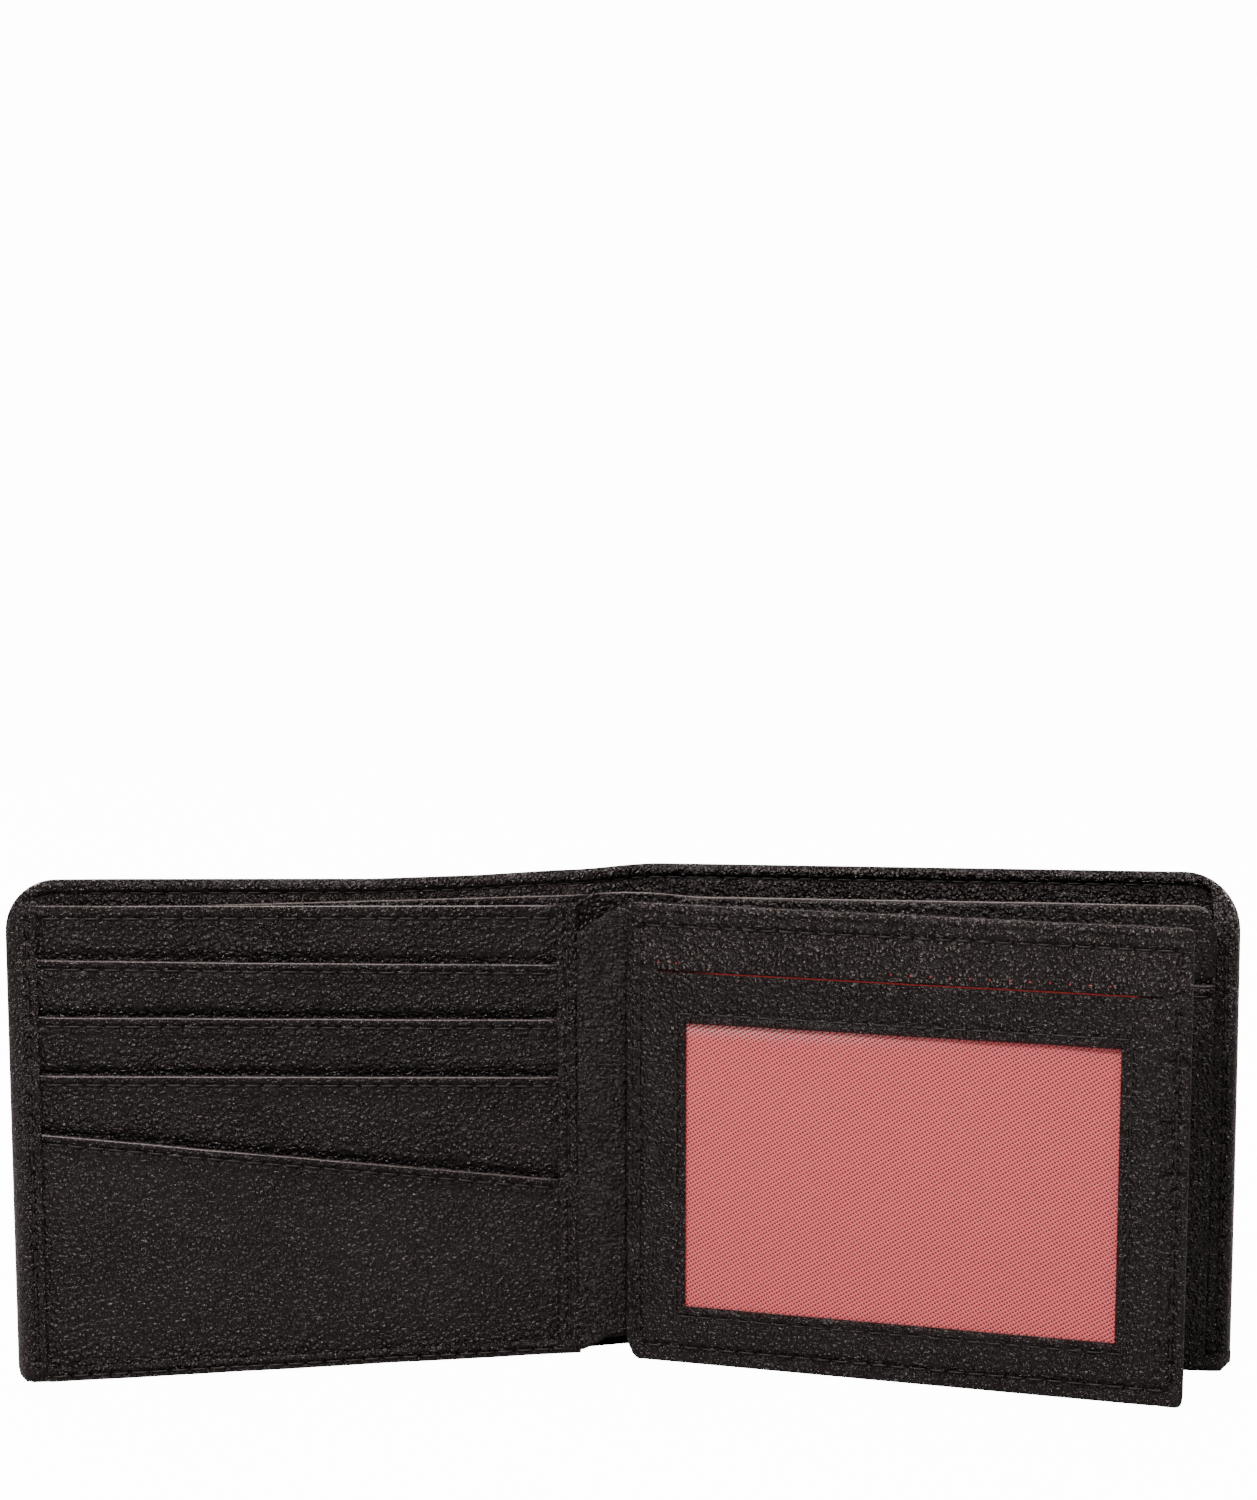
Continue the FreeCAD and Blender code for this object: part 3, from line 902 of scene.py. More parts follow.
def make_left_outer_hem():
    """Turned border along the outer edge, wrapped round to the cover."""
    zs = stops(0.0, 88.4, 1.5, needle_marks(*OUTER_SEAM) + [85.0, 85.6, 86.2, 86.8, 87.4, 88.0])
    shares = [0, 0.012, 0.03, 0.06, 0.1, 0.15, 0.2, 0.25, 0.3, 0.35, 0.42, 0.5, 0.56, 0.62, 0.68, 0.74, 0.8,
              0.86, 0.91, 0.95, 0.98, 1.0]
    share, zz = grid(shares, zs)
    low = BOTTOM_HEM * (1 - share)
    z = np.where(zz > 6, zz, low + zz / 6 * (6 - low))
    outer = HALF - corner_drop(LEFT_TOP + 1.4 - z, LEFT_CORNER) - corner_drop(z, FOOT)
    inner = np.minimum(HEM_LINE, outer - 2.2)
    u = inner + (outer - inner) * share
    base = stack_front(u, z) - 0.5 + left_soft(u, z)
    base = base + (LEFT_BACK_REACH - 0.7 - base) * smooth(z, 84.6, 87.0)
    near = base + (LEFT_BACK_REACH - base) * quarter((u - outer + 2.7) / 2.7)
    near = near + rolled(u - inner, 0.45) + seam_dent(z, u - SIDE_LINE, *OUTER_SEAM)
    near = near + 0.12 * ripple(u, z, 6.0, 0.22)
    far = np.minimum(near + 0.5, LEFT_BACK_REACH + 0.12)
    leaf_piece("left_outer_hem", "left", u, near, far, z, [hem_leather],
               ["outer_hem_left", "side_seam_left"])


def make_left_bottom_hem():
    us = stops(INNER_EDGE + 0.1, HALF - 0.25, 1.6, needle_marks(*BOTTOM_SEAM))
    shares = [0, 0.02, 0.05, 0.09, 0.14, 0.2, 0.27, 0.33, 0.39, 0.44, 0.49, 0.54, 0.6, 0.7, 0.8, 0.88, 0.94,
              0.975, 1.0]
    u, share = grid(us, shares)
    low = corner_drop(HALF - u, FOOT)
    z = low + (BOTTOM_HEM + 0.1 * ripple(u, 0 * u, 4.0, 0.8) - low) * share
    base = POCKET_FRONT - 0.42 + left_soft(u, z) + 0.4 * smooth(u, HEM_LINE - 0.5, HEM_LINE + 0.3)
    base = base + (LEFT_BACK_REACH - 0.3 - base) * quarter((u - HALF + 3.4) / 3.4)
    near = base + (LEFT_BACK_REACH - base) * quarter((low + 1.25 - z) / 1.25)
    near = near + rolled(BOTTOM_HEM - z, 0.4) + seam_dent(u, z - BOTTOM_LINE, *BOTTOM_SEAM)
    far = np.minimum(near + 0.45, LEFT_BACK_REACH + 0.12)
    leaf_piece("left_bottom_hem", "left", u, near, far, z, [hem_leather],
               ["bottom_hem_left", "bottom_seam_left"])


def make_left_binding():
    """Strip folded round the inner ends of the left pockets."""
    zs = stops(1.2, BINDING_TOP, 1.5, needle_marks(*INNER_SEAM) + [82.6, 82.8, 83.0, 83.15])
    us = INNER_EDGE + np.array([-0.25, -0.2, -0.1, 0.05, 0.25, 0.5, 0.8, 1.1, 1.4, 1.7, 1.95, 2.2, 2.45, 2.7,
                                3.0, 3.3, 3.6, 3.8, 3.92, 4.0])
    u, z = grid(us, zs)
    base = stack_front(0 * u + INNER_EDGE + 3, z) - 0.45 + left_soft(u, z)
    near = base + (WALL_LEFT + 0.75 - base) * quarter((INNER_EDGE + 1.1 - u) / 1.35)
    near = near + rolled(POCKET_START - u, 0.4) + seam_dent(z, u - BINDING_LINE, *INNER_SEAM)
    near = near + 0.9 * quarter((z - 82.5) / 0.8)
    far = np.minimum(near + 0.45, WALL_LEFT + 0.9)
    leaf_piece("left_inner_binding", "left", u, near, far, z, [hem_leather], ["inner_binding_left"])


def make_hinge_strip():
    """Soft strip that joins the left half to the flap across the fold."""
    us = np.concatenate([np.arange(0.12, 1.2, 0.18), np.arange(1.2, INNER_EDGE + 0.9, 0.36)])
    shares = stops(0.0, 1.0, 0.014, [0.002, 0.005, 0.01, 0.99, 0.995, 0.998])
    u, share = grid(us, shares)
    low = 4.0 - 2.8 * smooth(u, 1.5, INNER_EDGE)
    top = BINDING_TOP - 4.8 * np.clip(u / INNER_EDGE, 0, 1) ** 1.15
    z = low + (top - low) * share
    rim = np.minimum(z - low, top - z)
    crease = 0.5 + 0.5 * np.sin(u * 2.1 + 0.5 * z + 2 * ripple(u, z, 8.0, 0.4))
    gather = bell(z, 16.0) + 0.5 * bell(z - 80, 10.0) + 0.15
    near = 2.0 + 0.12 * smooth(u, 2, 9) + rolled(rim, 0.35) + 0.30 * crease * gather * smooth(u, 0.2, 2.5)
    far = near + 0.6 - 1.2 * rolled(rim, 0.25)
    leaf_piece("hinge_leather_strip", "left", u, near, far, z, [hinge_leather], ["hinge_strip"])


def make_left_threads():
    def on_hem(u, z):
        return stack_front(u, z) - 0.5 + left_soft(u, z) + 0.24

    rows = {
        "thread_left_outer": upright(SIDE_LINE, OUTER_SEAM),
        "thread_left_bottom": level(BOTTOM_LINE, BOTTOM_SEAM),
        "thread_left_inner": upright(BINDING_LINE, INNER_SEAM),
    }
    thread_nodes("left", rows, on_hem)

    def on_wall(u, z):
        share = np.clip((POCKET_END - u) / (POCKET_END - POCKET_START), 0, 1)
        return WALL_LEFT - 0.30 - 0.24 * np.sin(share * math.pi) ** 0.7 + left_soft(u, z) + 0.14

    low, high = FACING_SEAM
    line = [((high, facing_top(high) - FACING_LINE), (low, facing_top(low) - FACING_LINE))]
    thread_nodes("left", {"thread_left_top": line}, on_wall)


# ---- the right half: slip pocket behind the flap ------------------------------------------------
RIGHT_END = HALF - RIGHT_HEM
BAND_LOW = 68.2
SLIP_LINE = 2.0              # the slip pocket's lip to its stitches
SLIP_SEAM = (INNER_EDGE + 2.0, RIGHT_END - 1.0)
RIGHT_HEM_LINE = RIGHT_END + 2.4
RIGHT_HEM_SEAM = (BOTTOM_HEM + 1.0, 82.0)
HEM_DEPTH = 3.4


def right_lean(z):
    return LEAN * lean_share(z)


def make_slip_pocket():
    us = stops(INNER_EDGE, RIGHT_END, 1.6, needle_marks(*SLIP_SEAM))
    u, z, drop = lip_grid(us, lambda u: SLIP_LIP, 1.2, 8.0, 0.75, 30)
    soft = right_soft(u, z) + 0.10 * ripple(u, z, 12.0, 0.25) * smooth(drop, 2.0, 6.0)
    dent = seam_dent(u, drop - SLIP_LINE, *SLIP_SEAM)
    near = RIGHT_FRONT + rolled(drop, 0.45) + dent + soft - 0.25 * (1 - smooth(drop, 2.8, 3.6))
    far = RIGHT_FRONT + 0.75 - 0.5 * rolled(drop, 0.3) + right_soft(u, z)
    # The first two rows of the slip pocket's lip take the lighter lip colour: partly wear, partly a painted
    # highlight.
    leaf_piece("slip_pocket_leather", "right", u, near, far, z, [slip_leather, lip_wear_and_highlight],
               ["slip_pocket_right", "bottom_seam_right"], wear_and_highlight_rows=2)


def make_top_band():
    """Folded band along the top of the right wall, with a rounded inner corner."""
    inner = 7.4
    us = stops(inner, RIGHT_END, 1.8, [inner + k for k in (0.05, 0.15, 0.35, 0.7, 1.1, 1.6, 2.2, 3.0)])
    shares = [0, 0.05, 0.1, 0.15, 0.2, 0.25, 0.3, 0.36, 0.42, 0.5, 0.58, 0.65, 0.74, 0.8, 0.85, 0.9, 0.94,
              0.97, 0.99, 1.0]
    u, share = grid(us, shares)
    top = INNER_TOP - 0.15 - corner_drop(u - inner, 3.6) - corner_drop(RIGHT_END - u, WALL_CORNER)
    z = BAND_LOW + (top - BAND_LOW) * share
    rim = np.minimum(top - z, u - inner)
    bow = 0.7 * smooth(u, 12, 40) * smooth(z, 72, 84)
    behind = 0.78 * smooth(SLIP_LIP + 2.2 - z, 0.0, 2.4)
    near = RIGHT_FRONT - bow + behind + rolled(rim, 0.5) + right_soft(u, z)
    far = RIGHT_FRONT + 0.85 - 0.6 * bow + 0.4 * behind - 0.8 * rolled(rim, 0.3) + right_soft(u, z)
    leaf_piece("top_band_leather", "right", u, near, far, z, [wall_leather],
               ["top_band_right", "inner_strip_right"])


def make_right_outer_hem():
    """Turned edge of the right half, standing clear of the pockets."""
    zs = stops(0.0, 88.0, 1.5, needle_marks(*RIGHT_HEM_SEAM) + [84, 85, 86, 86.8, 87.5])
    shares = [0, 0.02, 0.05, 0.1, 0.16, 0.24, 0.32, 0.38, 0.42, 0.46, 0.52, 0.6, 0.68, 0.76, 0.84, 0.9, 0.95,
              0.98, 1.0]
    share, z = grid(shares, zs)
    outer = HALF - corner_drop(RIGHT_TOP - z, CORNER) - corner_drop(z, FOOT)
    inner = np.minimum(RIGHT_END + 0.1, outer - 2.6)
    u = inner + (outer - inner) * share
    back = RIGHT_BACK - LEATHER - 0.1
    base = HEM_DEPTH + 0.5 * right_soft(u, z) + 3.2 * smooth(z, 78, 87)
    near = base + (back - base) * quarter((u - outer + 1.6) / 1.6)
    near = near + rolled(u - inner, 0.5) + seam_dent(z, u - RIGHT_HEM_LINE, *RIGHT_HEM_SEAM)
    near = near + 0.1 * ripple(u, z, 7.0, 0.22)
    far = np.minimum(near + 0.7, back + 0.1)
    lean = right_lean(z)
    leaf_piece("right_outer_hem", "right", u, near + lean, far + lean, z, [hem_leather], ["outer_hem_right"])


def make_right_gusset():
    """Leather that closes the note compartment at its outer side."""
    zs = stops(0.6, 83.5, 1.6)
    shares = np.linspace(0, 1, 14)
    share, z = grid(shares, zs)
    back = 8.3 + right_lean(z)
    reach = smooth(z, 84.5, 76.0)
    front = WALL_RIGHT - 0.7
    depth = front + (back - front) * (1 - reach) + (back - front) * reach * share
    fold = 0.5 * np.sin(share * math.pi) + 0.1 * ripple(depth, z, 15.0, 0.2)
    near = place("right", RIGHT_END + 0.05 - fold, depth, z)
    far = place("right", RIGHT_END - 0.55 - fold, depth, z)
    side = closed_sheet("right_side_gusset", near, far, [wall_leather])
    settle(side, "right_half", "inner_leather", "side_seam_right")


def make_right_bottom_hem():
    """Closed bottom edge of the right half, a flattened roll that tapers at its outer end."""
    middle_depth = 5.2
    middle_height = 1.75
    half_height = 1.7
    us = stops(INNER_EDGE, HALF - 0.3, 2.0)
    angles = np.radians(np.arange(0, 361, 20))
    u, angle = grid(us, angles)
    lift = 0.5 * corner_drop(HALF - u, FOOT)
    middle = middle_height + lift
    taper = np.sqrt(1 - 0.96 * np.clip((u - HALF + 3.3) / 3.0, 0, 1) ** 2)
    depth = middle_depth + 3.1 * taper * np.sign(np.cos(angle)) * np.abs(np.cos(angle)) ** 0.45
    z = middle + (half_height - lift) * np.sign(np.sin(angle)) * np.abs(np.sin(angle)) ** 0.6
    outer = place("right", u, depth, z + 0.05 * ripple(u, depth, 2.0, 0.2))
    core = place("right", u, middle_depth + 0.9 * (depth - middle_depth), middle + 0.75 * (z - middle))
    bottom = closed_sheet("right_bottom_hem", outer, core, [hem_leather])
    settle(bottom, "right_half", "inner_leather", "bottom_hem_right")


def make_right_threads():
    def on_hem(u, z):
        return HEM_DEPTH + 0.5 * right_soft(u, z) + right_lean(z) + 0.1

    def on_pocket(u, z):
        return RIGHT_FRONT - 0.25 + right_soft(u, z) + 0.1

    outer = {"thread_right_outer": upright(RIGHT_HEM_LINE, RIGHT_HEM_SEAM)}
    lip = {"thread_right_slip_lip": level(SLIP_LIP - SLIP_LINE, SLIP_SEAM)}
    thread_nodes("right", outer, on_hem)
    thread_nodes("right", lip, on_pocket)


# ---- the flap ------------------------------------------------------------------------------------
FLAP_START = 0.9
FLAP_FRONT = -FLAP_HALF
FILM_DEPTH = FLAP_FRONT + 0.70
TWILL_DEPTH = FLAP_FRONT + 0.88
CORE_DEPTH = FLAP_FRONT + 1.08
HIDDEN = 5.0                 # width of the red lining that the leather hides on each side
FLAP_CORNER = 1.3
SLIT_WIDTH = 0.28
SLIT_SPAN = (5.2, 93.6)
RED_SPAN = (8.8, 89.8)       # where the red cloth shows in the slit
WINDOW_SEAM = 1.8
WINDOW_STEPS = (0, 0.1, 0.25, 0.5)   # extra places beside the window's edges
HINGE_LINE = FLAP_START + 1.5        # the flap's lines of stitches
OUTER_LINE = FLAP_LENGTH - 2.2
LOW_LINE = FLAP_LOW + 2.8
TOP_LINE = FLAP_TOP - 3.9
FOLD_LINE = FLAP_TOP - 1.7
ALONG = (FLAP_START + 2.5, FLAP_LENGTH - 3.0)        # where they start and end
UPWARD = (FLAP_LOW + 4.5, FLAP_TOP - 4.5)
WRINKLE_LINE = FLAP_LENGTH - 4.4     # shallow crease beside the outer stitches
FLAP_FOLD = 1.3              # chamfer at the foot of the hinge side


def flap_soft(u, z):
    edge = np.minimum(np.minimum(u, FLAP_LENGTH - u), np.minimum(z, FLAP_TOP - z))
    return 0.16 * ripple(u, z, 5.0) * smooth(edge, 0.0, 10.0)


def flap_outline(u, z):
    """Flap grid points moved to its rounded corners and its folded lower corner."""
    top = FLAP_TOP - corner_drop(FLAP_LENGTH - u, FLAP_CORNER)
    low = FLAP_LOW + corner_drop(FLAP_LENGTH - u, FLAP_CORNER)
    low = low + 1.1 * np.clip(1 - (u - FLAP_START) / FLAP_FOLD, 0, 1)
    near_top = np.clip((z - FLAP_TOP + 4) / 4, 0, 1)
    near_low = np.clip((FLAP_LOW + 6 - z) / 6, 0, 1)
    return z + near_top * (top - FLAP_TOP) + near_low * (low - FLAP_LOW)


def flap_marks(near, far, window, lines):
    """Extra places at the flap's two rims, beside the window and across lines of stitches."""
    lines = [window[0] - WINDOW_SEAM, window[1] + WINDOW_SEAM] + lines
    marks = [near + k for k in (0.05, 0.2, 0.5)] + [far - k for k in (0.04, 0.12, 0.25, 0.45, 0.7, 1.0)]
    marks += [window[0] - k for k in WINDOW_STEPS] + [window[1] + k for k in WINDOW_STEPS]
    return marks + [across for line in lines for across in around(line)]


def flap_columns(step):
    marks = flap_marks(FLAP_START, FLAP_LENGTH, WINDOW[:2], [HINGE_LINE, OUTER_LINE, WRINKLE_LINE])
    marks += [*SLIT_SPAN, FLAP_LENGTH - FLAP_CORNER]
    return stops(FLAP_START, FLAP_LENGTH, step, marks + needle_marks(*ALONG))


def flap_rows(step):
    marks = flap_marks(FLAP_LOW, FLAP_TOP, WINDOW[2:], [LOW_LINE, TOP_LINE, FOLD_LINE])
    marks += [lip + k for lip in BACK_LIPS[1:] for k in (-0.8, -0.35, 0, 0.35, 0.8)]
    marks += [SLIT - k for k in (0.7, 0.35, 0.15, 0)] + [SLIT + k for k in (1.3, 1.7, 2.1)]
    marks += [SLIT + SLIT_WIDTH + k for k in (0, 0.15, 0.4, 0.8)]
    return stops(FLAP_LOW, FLAP_TOP, step, marks + needle_marks(*UPWARD))


def flap_hole(us, zs):
    """Grid cells cut out of the flap's front: the window and the slit of its pocket."""
    u = (us[:-1] + us[1:])[:, None] / 2
    z = (zs[:-1] + zs[1:])[None, :] / 2
    start, end, low, high = WINDOW
    window = (u > start) & (u < end) & (z > low) & (z < high)
    slit = (u > SLIT_SPAN[0]) & (u < SLIT_SPAN[1]) & (z > SLIT) & (z < SLIT + SLIT_WIDTH)
    return window | slit


def flap_front_depth(u, z):
    start, end, low, high = WINDOW
    gap = np.maximum(np.maximum(start - u, u - end), np.maximum(low - z, z - high))
    rim = np.minimum(FLAP_LENGTH - u, FLAP_TOP - z)
    slit = np.where((u > SLIT_SPAN[0]) & (u < SLIT_SPAN[1]),
                    np.where(z > SLIT + 0.5 * SLIT_WIDTH, z - SLIT - SLIT_WIDTH, SLIT - z), 9.0)
    depth = FLAP_FRONT + flap_soft(u, z) + rolled(np.abs(gap), 0.45) + rolled(rim, 0.4)
    depth = depth + rolled(np.clip(slit, 0, 9), 0.38) - 0.12 * bell(slit, 1.0)
    depth = depth + seam_dent(z, u - HINGE_LINE, *UPWARD) + seam_dent(z, u - OUTER_LINE, *UPWARD)
    depth = depth + seam_dent(u, z - LOW_LINE, *ALONG) + seam_dent(u, z - TOP_LINE, *ALONG)
    inside = (u > start - 3) & (u < end + 3) & (z > low - 3) & (z < high + 3)
    ring = 0.16 * bell(gap - WINDOW_SEAM, 0.6) * inside
    fold = 0.14 * bell(z - FOLD_LINE, 0.3)
    crease = 0.20 * bell(u - WRINKLE_LINE, 0.45)
    for lip in BACK_LIPS[1:]:
        crease = crease + 0.68 * bell(z - lip, 0.6) * smooth(u, FLAP_LENGTH - 6.0, FLAP_LENGTH - 2.5)
    pillow = -0.22 * bell(gap - 0.85, 0.55) * inside
    below = FLAP_TOP - z
    puff = -0.20 * bell(below - 0.95, 0.5) - 0.20 * bell(below - 2.8, 0.8)
    puff = puff - 0.22 * bell(z - SLIT - 2.6, 1.6)
    return depth + ring + fold + crease + pillow + puff + 0.6 * quarter((FLAP_START + 1.0 - u) / 1.0)


def make_flap_front():
    us = flap_columns(1.8)
    zs = flap_rows(1.8)
    u, z = grid(us, zs)
    near = flap_front_depth(u, z)
    far = np.maximum(near + 0.1, FLAP_FRONT + 0.6 + 0.6 * flap_soft(u, z))
    leaf_piece("flap_front_leather", "flap", u, near, far, flap_outline(u, z), [flap_leather, edge_leather],
               ["flap_window_frame"], hole=flap_hole(us, zs))


def make_film():
    start, end, low = WINDOW[:3]
    u, z = grid(np.linspace(start - 4, end + 4, 40), np.linspace(low - 4, SLIT - 1, 34))
    near = FILM_DEPTH + 0.05 * ripple(u, z, 6.0, 0.9)
    leaf_piece("window_film", "flap", u, near, near + 0.1, z, [film], ["flap_window_film"], "window_film")


def make_red_lining():
    """Red twill behind the film."""
    start, end, low = WINDOW[:3]
    u, z = grid(np.linspace(start - HIDDEN, end + HIDDEN, 56), stops(low - HIDDEN, SLIT + HIDDEN, 1.8))
    near = TWILL_DEPTH + 0.05 * ripple(u, z, 6.0, 0.9)
    piece = leaf_piece("red_twill_lining", "flap", u, near, near + 0.14, z, [red_twill],
                       ["flap_red_lining"], "red_lining")


def make_slit_edge():
    """Folded edge of the red cloth standing in the slit, and bobbin thread in the holes above it."""
    us = np.linspace(RED_SPAN[0] + 0.4, RED_SPAN[1] - 0.4, 90)
    zs = np.linspace(SLIT + 0.02, SLIT + SLIT_WIDTH - 0.02, 4)
    u, z = grid(us, zs)
    near = FLAP_FRONT + 0.26 + flap_soft(u, z) + 0.5 * smooth(RED_SPAN[0] + 9 - u, 0, 9)
    leaf_piece("red_slit_edge", "flap", u, near, near + 0.12, z, [red_thread], (), "red_lining")
    shown = np.array([RED_SPAN[0] - 2.8, RED_SPAN[0] + 0.4]
                     + [RED_SPAN[0] + 38.6 + 3.4 * k for k in range(12)])
    height = np.full_like(shown, SLIT + 1.75)
    depth = flap_front_depth(shown, height) + 0.04
    starts = place("flap", shown - 0.16, depth, height - 0.05)
    ends = place("flap", shown + 0.16, depth, height + 0.05)
    points = stitches("red_needle_points", starts, ends, leaf_outward("flap"), red_thread)
    settle(points, "id_flap", "red_lining")


def flap_panel(name, front, back, inset, material, node, slot):
    """Plain panel of the flap between two depths."""
    us = stops(FLAP_START, FLAP_LENGTH - inset, 2.6, [FLAP_LENGTH - inset - k for k in (0.1, 0.4, 0.8)]
               + [FLAP_START + k for k in (0.2, 0.6, 1.0, 2.0, 3.0)])
    zs = stops(FLAP_LOW + inset, FLAP_TOP - inset, 2.6, [FLAP_TOP - inset - 0.2, FLAP_LOW + inset + 0.2])
    u, z = grid(us, zs)
    soft = 0.4 * flap_soft(u, z)
    rim = np.minimum(FLAP_LENGTH - inset - u, np.minimum(FLAP_TOP - inset - z, z - FLAP_LOW - inset))
    far = back + soft - rolled(rim, 0.2)
    height = np.minimum(flap_outline(u, z), FLAP_TOP - inset)
    leaf_piece(name, "flap", u, front + soft, far, height, [material], [node], slot)


BACK_WALL = 0.02
BACK_LEATHER = 0.28
BACK_PITCH = (FLAP_HALF - BACK_WALL - BACK_LEATHER) / 4


def make_flap_back():
    flap_panel("flap_inner_core", CORE_DEPTH, BACK_WALL - 0.04, 0.5, edge_leather,
               "flap_core", "dark_lining")
    flap_panel("flap_back_leather", BACK_WALL, BACK_WALL + BACK_LEATHER, 0.0, wall_leather,
               "flap_back_wall", "inner_leather")
    for k, lip in enumerate(BACK_LIPS):
        depth = BACK_WALL + BACK_LEATHER + k * BACK_PITCH
        end = FLAP_LENGTH - 0.15 * (3 - k)
        us = stops(FLAP_START, end, 1.7, needle_marks(FLAP_START + 3.0, end - 3.0) + [end - 0.1, end - 0.3])
        u, z, drop = lip_grid(us, lambda u: lip, FLAP_LOW, 8.0, 0.75, 16)
        z = flap_outline(u, z)
        soft = 0.4 * flap_soft(u, z)
        dent = 0.35 * seam_dent(u, drop - LIP_SEAM, FLAP_START + 3.0, end - 3.0)
        far = depth + BACK_PITCH - 0.02 + soft - rolled(drop, 0.22) - dent - rolled(end - u, 0.2)
        near = depth + soft
        # The first two rows of each lip take the lighter lip colour: partly wear, partly a painted
        # highlight.
        leaf_piece("flap_back_pocket_leather_%d" % (k + 1), "flap", u, far, near, z,
                   [pocket_leathers[k], lip_wear_and_highlight], ["flap_back_pocket_%d" % (k + 1)], wear_and_highlight_rows=2)


def make_hinge_roll():
    """Leather of the flap rolled round its hinge edge."""
    angles = np.radians(np.linspace(90, 270, 13))
    shares = stops(0.0, 1.0, 0.018, [0.001, 0.004, 0.996, 0.999])
    angle, share = grid(angles, shares)
    low = FLAP_LOW + 1.0 - 1.5 * np.cos(angle)
    z = low + (FLAP_TOP - 0.3 - low) * share
    rim = np.minimum(z - low, FLAP_TOP - 0.3 - z)
    wave = 0.05 * ripple(angle * 2, z, 10.0, 0.3) - rolled(rim, 0.3)
    radius = 1.22 + wave
    centre = FLAP_START + 0.25
    outer = place("flap", centre + 1.15 * radius * np.cos(angle), -radius * np.sin(angle), z)
    inner = place("flap", centre + 0.7 * radius * np.cos(angle), -0.7 * radius * np.sin(angle), z)
    piece = closed_sheet("flap_hinge_leather", outer, inner, [hinge_leather])
    settle(piece, "id_flap", "inner_leather", "flap_hinge_roll")


def make_flap_threads():
    start, end, low, high = WINDOW
    left = start - WINDOW_SEAM
    right = end + WINDOW_SEAM
    bottom = low - WINDOW_SEAM
    top = high + WINDOW_SEAM
    rows = {
        "thread_flap_hinge": upright(HINGE_LINE, UPWARD),
        "thread_flap_outer": upright(OUTER_LINE, UPWARD),
        "thread_flap_bottom": level(LOW_LINE, ALONG),
        "thread_flap_top": level(TOP_LINE, ALONG),
        "thread_window": [((left, bottom), (right, bottom)), ((right, bottom), (right, top)),
                          ((right, top), (left, top)), ((left, top), (left, bottom))],
    }
    thread_nodes("flap", rows, lambda u, z: FLAP_FRONT + flap_soft(u, z) + 0.13)


# ---- everything together -------------------------------------------------------------------------
make_cover()
make_turned_edge()
make_cover_lining()
make_cover_threads()
make_inner_wall()
make_left_facing()
for pocket in range(4):
    make_left_pocket(pocket)
pocket_lip_stitches()
make_left_outer_hem()
make_left_bottom_hem()
make_left_binding()
make_hinge_strip()
make_left_threads()
make_slip_pocket()
make_top_band()
make_right_outer_hem()
make_right_gusset()
make_right_bottom_hem()
make_right_threads()
make_flap_front()
make_film()
make_red_lining()
make_slit_edge()
make_flap_back()
make_hinge_roll()
make_flap_threads()


# ---- floor, light and camera --------------------------------------------------------------------
BACKDROP = 14.0              # brightness of the white surroundings, to the camera alone
AMBIENT = 0.03               # and as light on the wallet
FLOOR_REACH = 8.0
WARM = (1.0, 0.88, 0.86)
AIM = Vector((0.0, 0.0, 0.05))       # where every lamp points
LAMPS = {                            # place and size in metres, power in watts
    "key": ((-0.15, -0.42, 0.62), (0.18, 0.09), 5.6),
    "overhead": ((0.05, 0.0, 0.80), (0.8, 0.12), 8.5),
    "front_left": ((-0.60, -0.70, 0.40), (0.2, 0.2), 1.0),
    "back_left": ((-0.55, 0.80, 0.50), (0.25, 0.15), 5.0),
    "back_right": ((0.60, 0.80, 0.40), (0.25, 0.15), 3.5),
    "front_right": ((0.80, -0.60, 0.35), (0.2, 0.2), 1.0),
}
CAMERA = (0.0437, -0.4527, 0.1688)   # from the foot of the fold axis, in metres
CAMERA_DOWN = 7.22                   # degrees below level
CAMERA_TURN = 5.5
LENS = 62.5


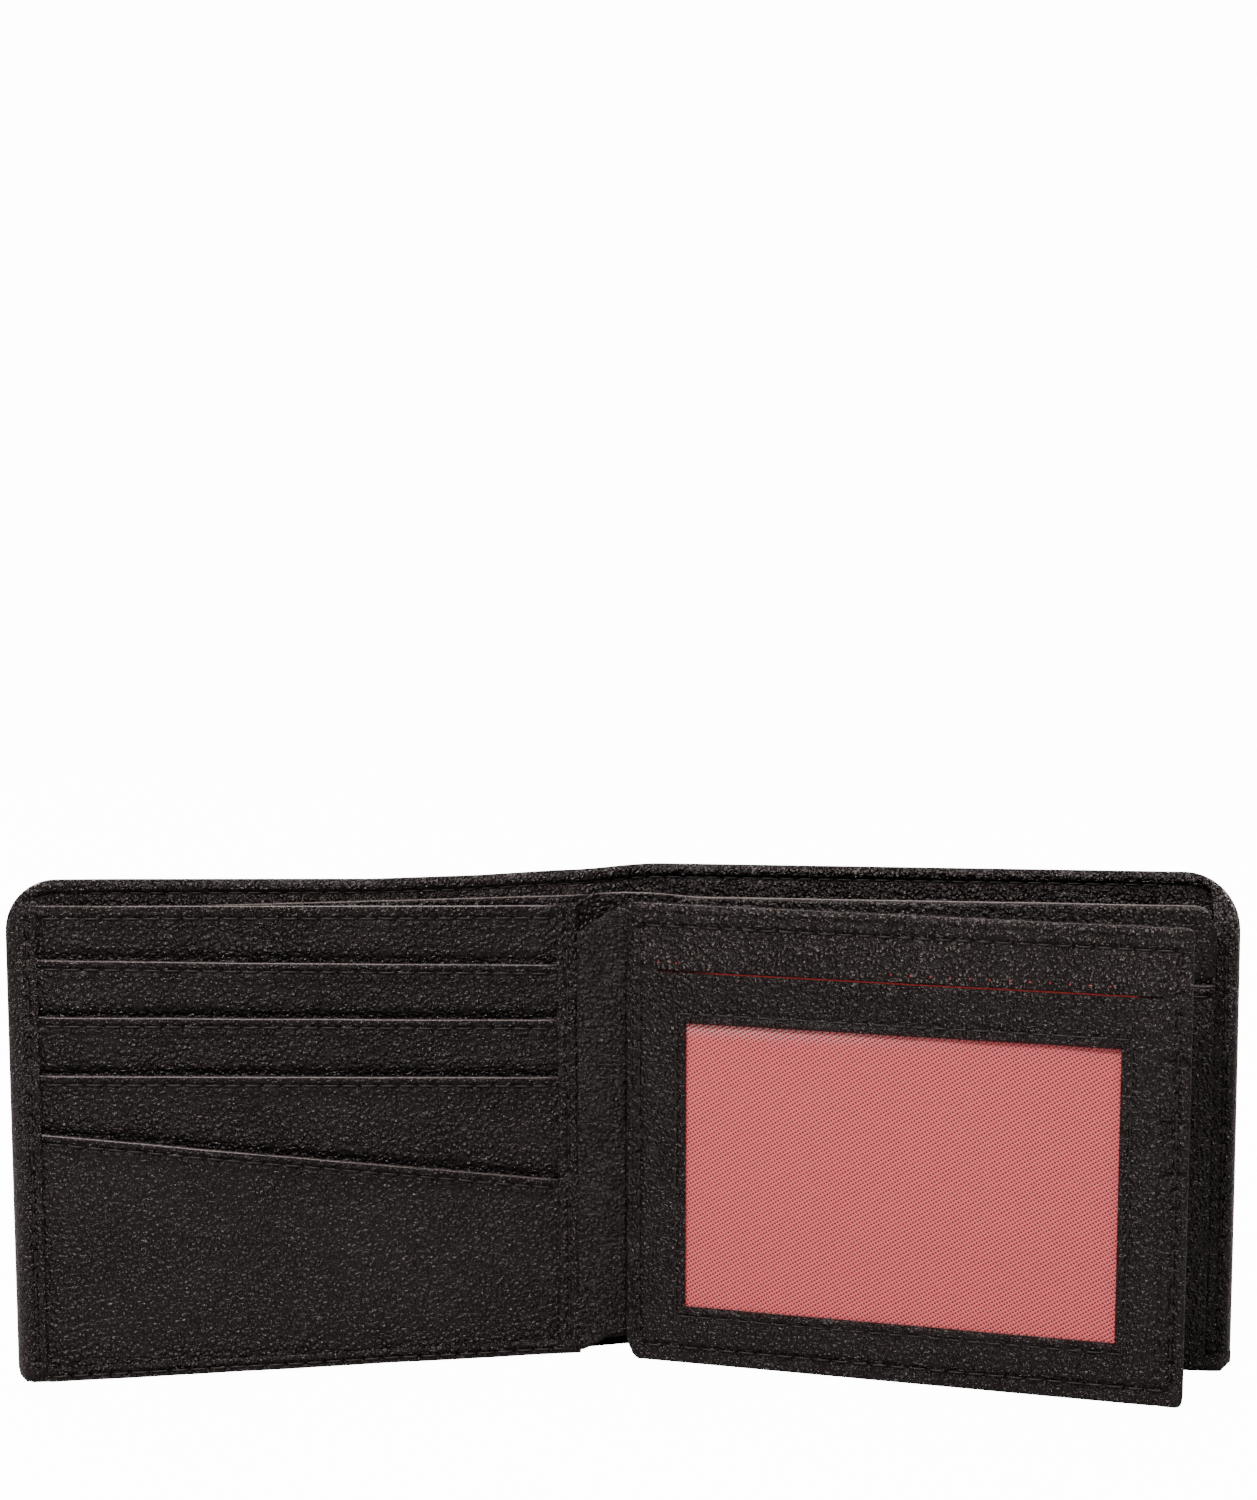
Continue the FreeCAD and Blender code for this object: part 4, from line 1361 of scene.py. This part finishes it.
def make_floor():
    """Floor that is as bright to the camera as the white surroundings, and grey as light."""
    mesh = bpy.data.meshes.new("studio_floor")
    corners = [(-1, -1), (1, -1), (1, 1), (-1, 1)]
    mesh.from_pydata([(x * FLOOR_REACH, y * FLOOR_REACH, 0) for x, y in corners], [], [(0, 1, 2, 3)])
    floor = bpy.data.objects.new("studio_floor", mesh)
    bpy.context.scene.collection.objects.link(floor)
    g = new_graph("floor_white")
    seen = g.add("LightPath")
    glow = g.math("MULTIPLY", seen.outputs["Is Camera Ray"], BACKDROP)
    shader = g.add("BsdfPrincipled", Base_Color=(0.34, 0.33, 0.33, 1.0), Roughness=0.75,
                   Emission_Color=(1.0, 1.0, 1.0, 1.0), Emission_Strength=glow)
    mesh.materials.append(g.finish(shader))


def make_world():
    """Surroundings that are white to the camera and nearly dark as light."""
    world = bpy.data.worlds.new("studio")
    g = Graph(world)
    seen = g.add("LightPath")
    white = g.add("Background", Color=(1.0, 1.0, 1.0, 1.0), Strength=BACKDROP)
    soft = g.add("Background", Strength=AMBIENT)
    g.finish(g.blend(seen.outputs["Is Camera Ray"], soft, white), "OutputWorld")
    bpy.context.scene.world = world


def area_light(name, where, size, power):
    lamp = bpy.data.lights.new(name, "AREA")
    lamp.shape = "RECTANGLE"
    lamp.size, lamp.size_y = size
    lamp.energy = power
    lamp.color = WARM
    holder = bpy.data.objects.new(name, lamp)
    holder.location = where
    holder.rotation_euler = (AIM - Vector(where)).to_track_quat("-Z", "Y").to_euler()
    bpy.context.scene.collection.objects.link(holder)


def make_camera():
    lens = bpy.data.cameras.new("camera")
    lens.lens = LENS
    lens.clip_start = 0.01
    camera = bpy.data.objects.new("camera", lens)
    camera.location = AXIS + Vector(CAMERA)
    camera.rotation_euler = (math.radians(90 - CAMERA_DOWN), 0.0, math.radians(CAMERA_TURN))
    bpy.context.scene.collection.objects.link(camera)
    bpy.context.scene.camera = camera


make_floor()
make_world()
for lamp_name, (lamp_place, lamp_size, lamp_power) in LAMPS.items():
    area_light(lamp_name, lamp_place, lamp_size, lamp_power)
make_camera()
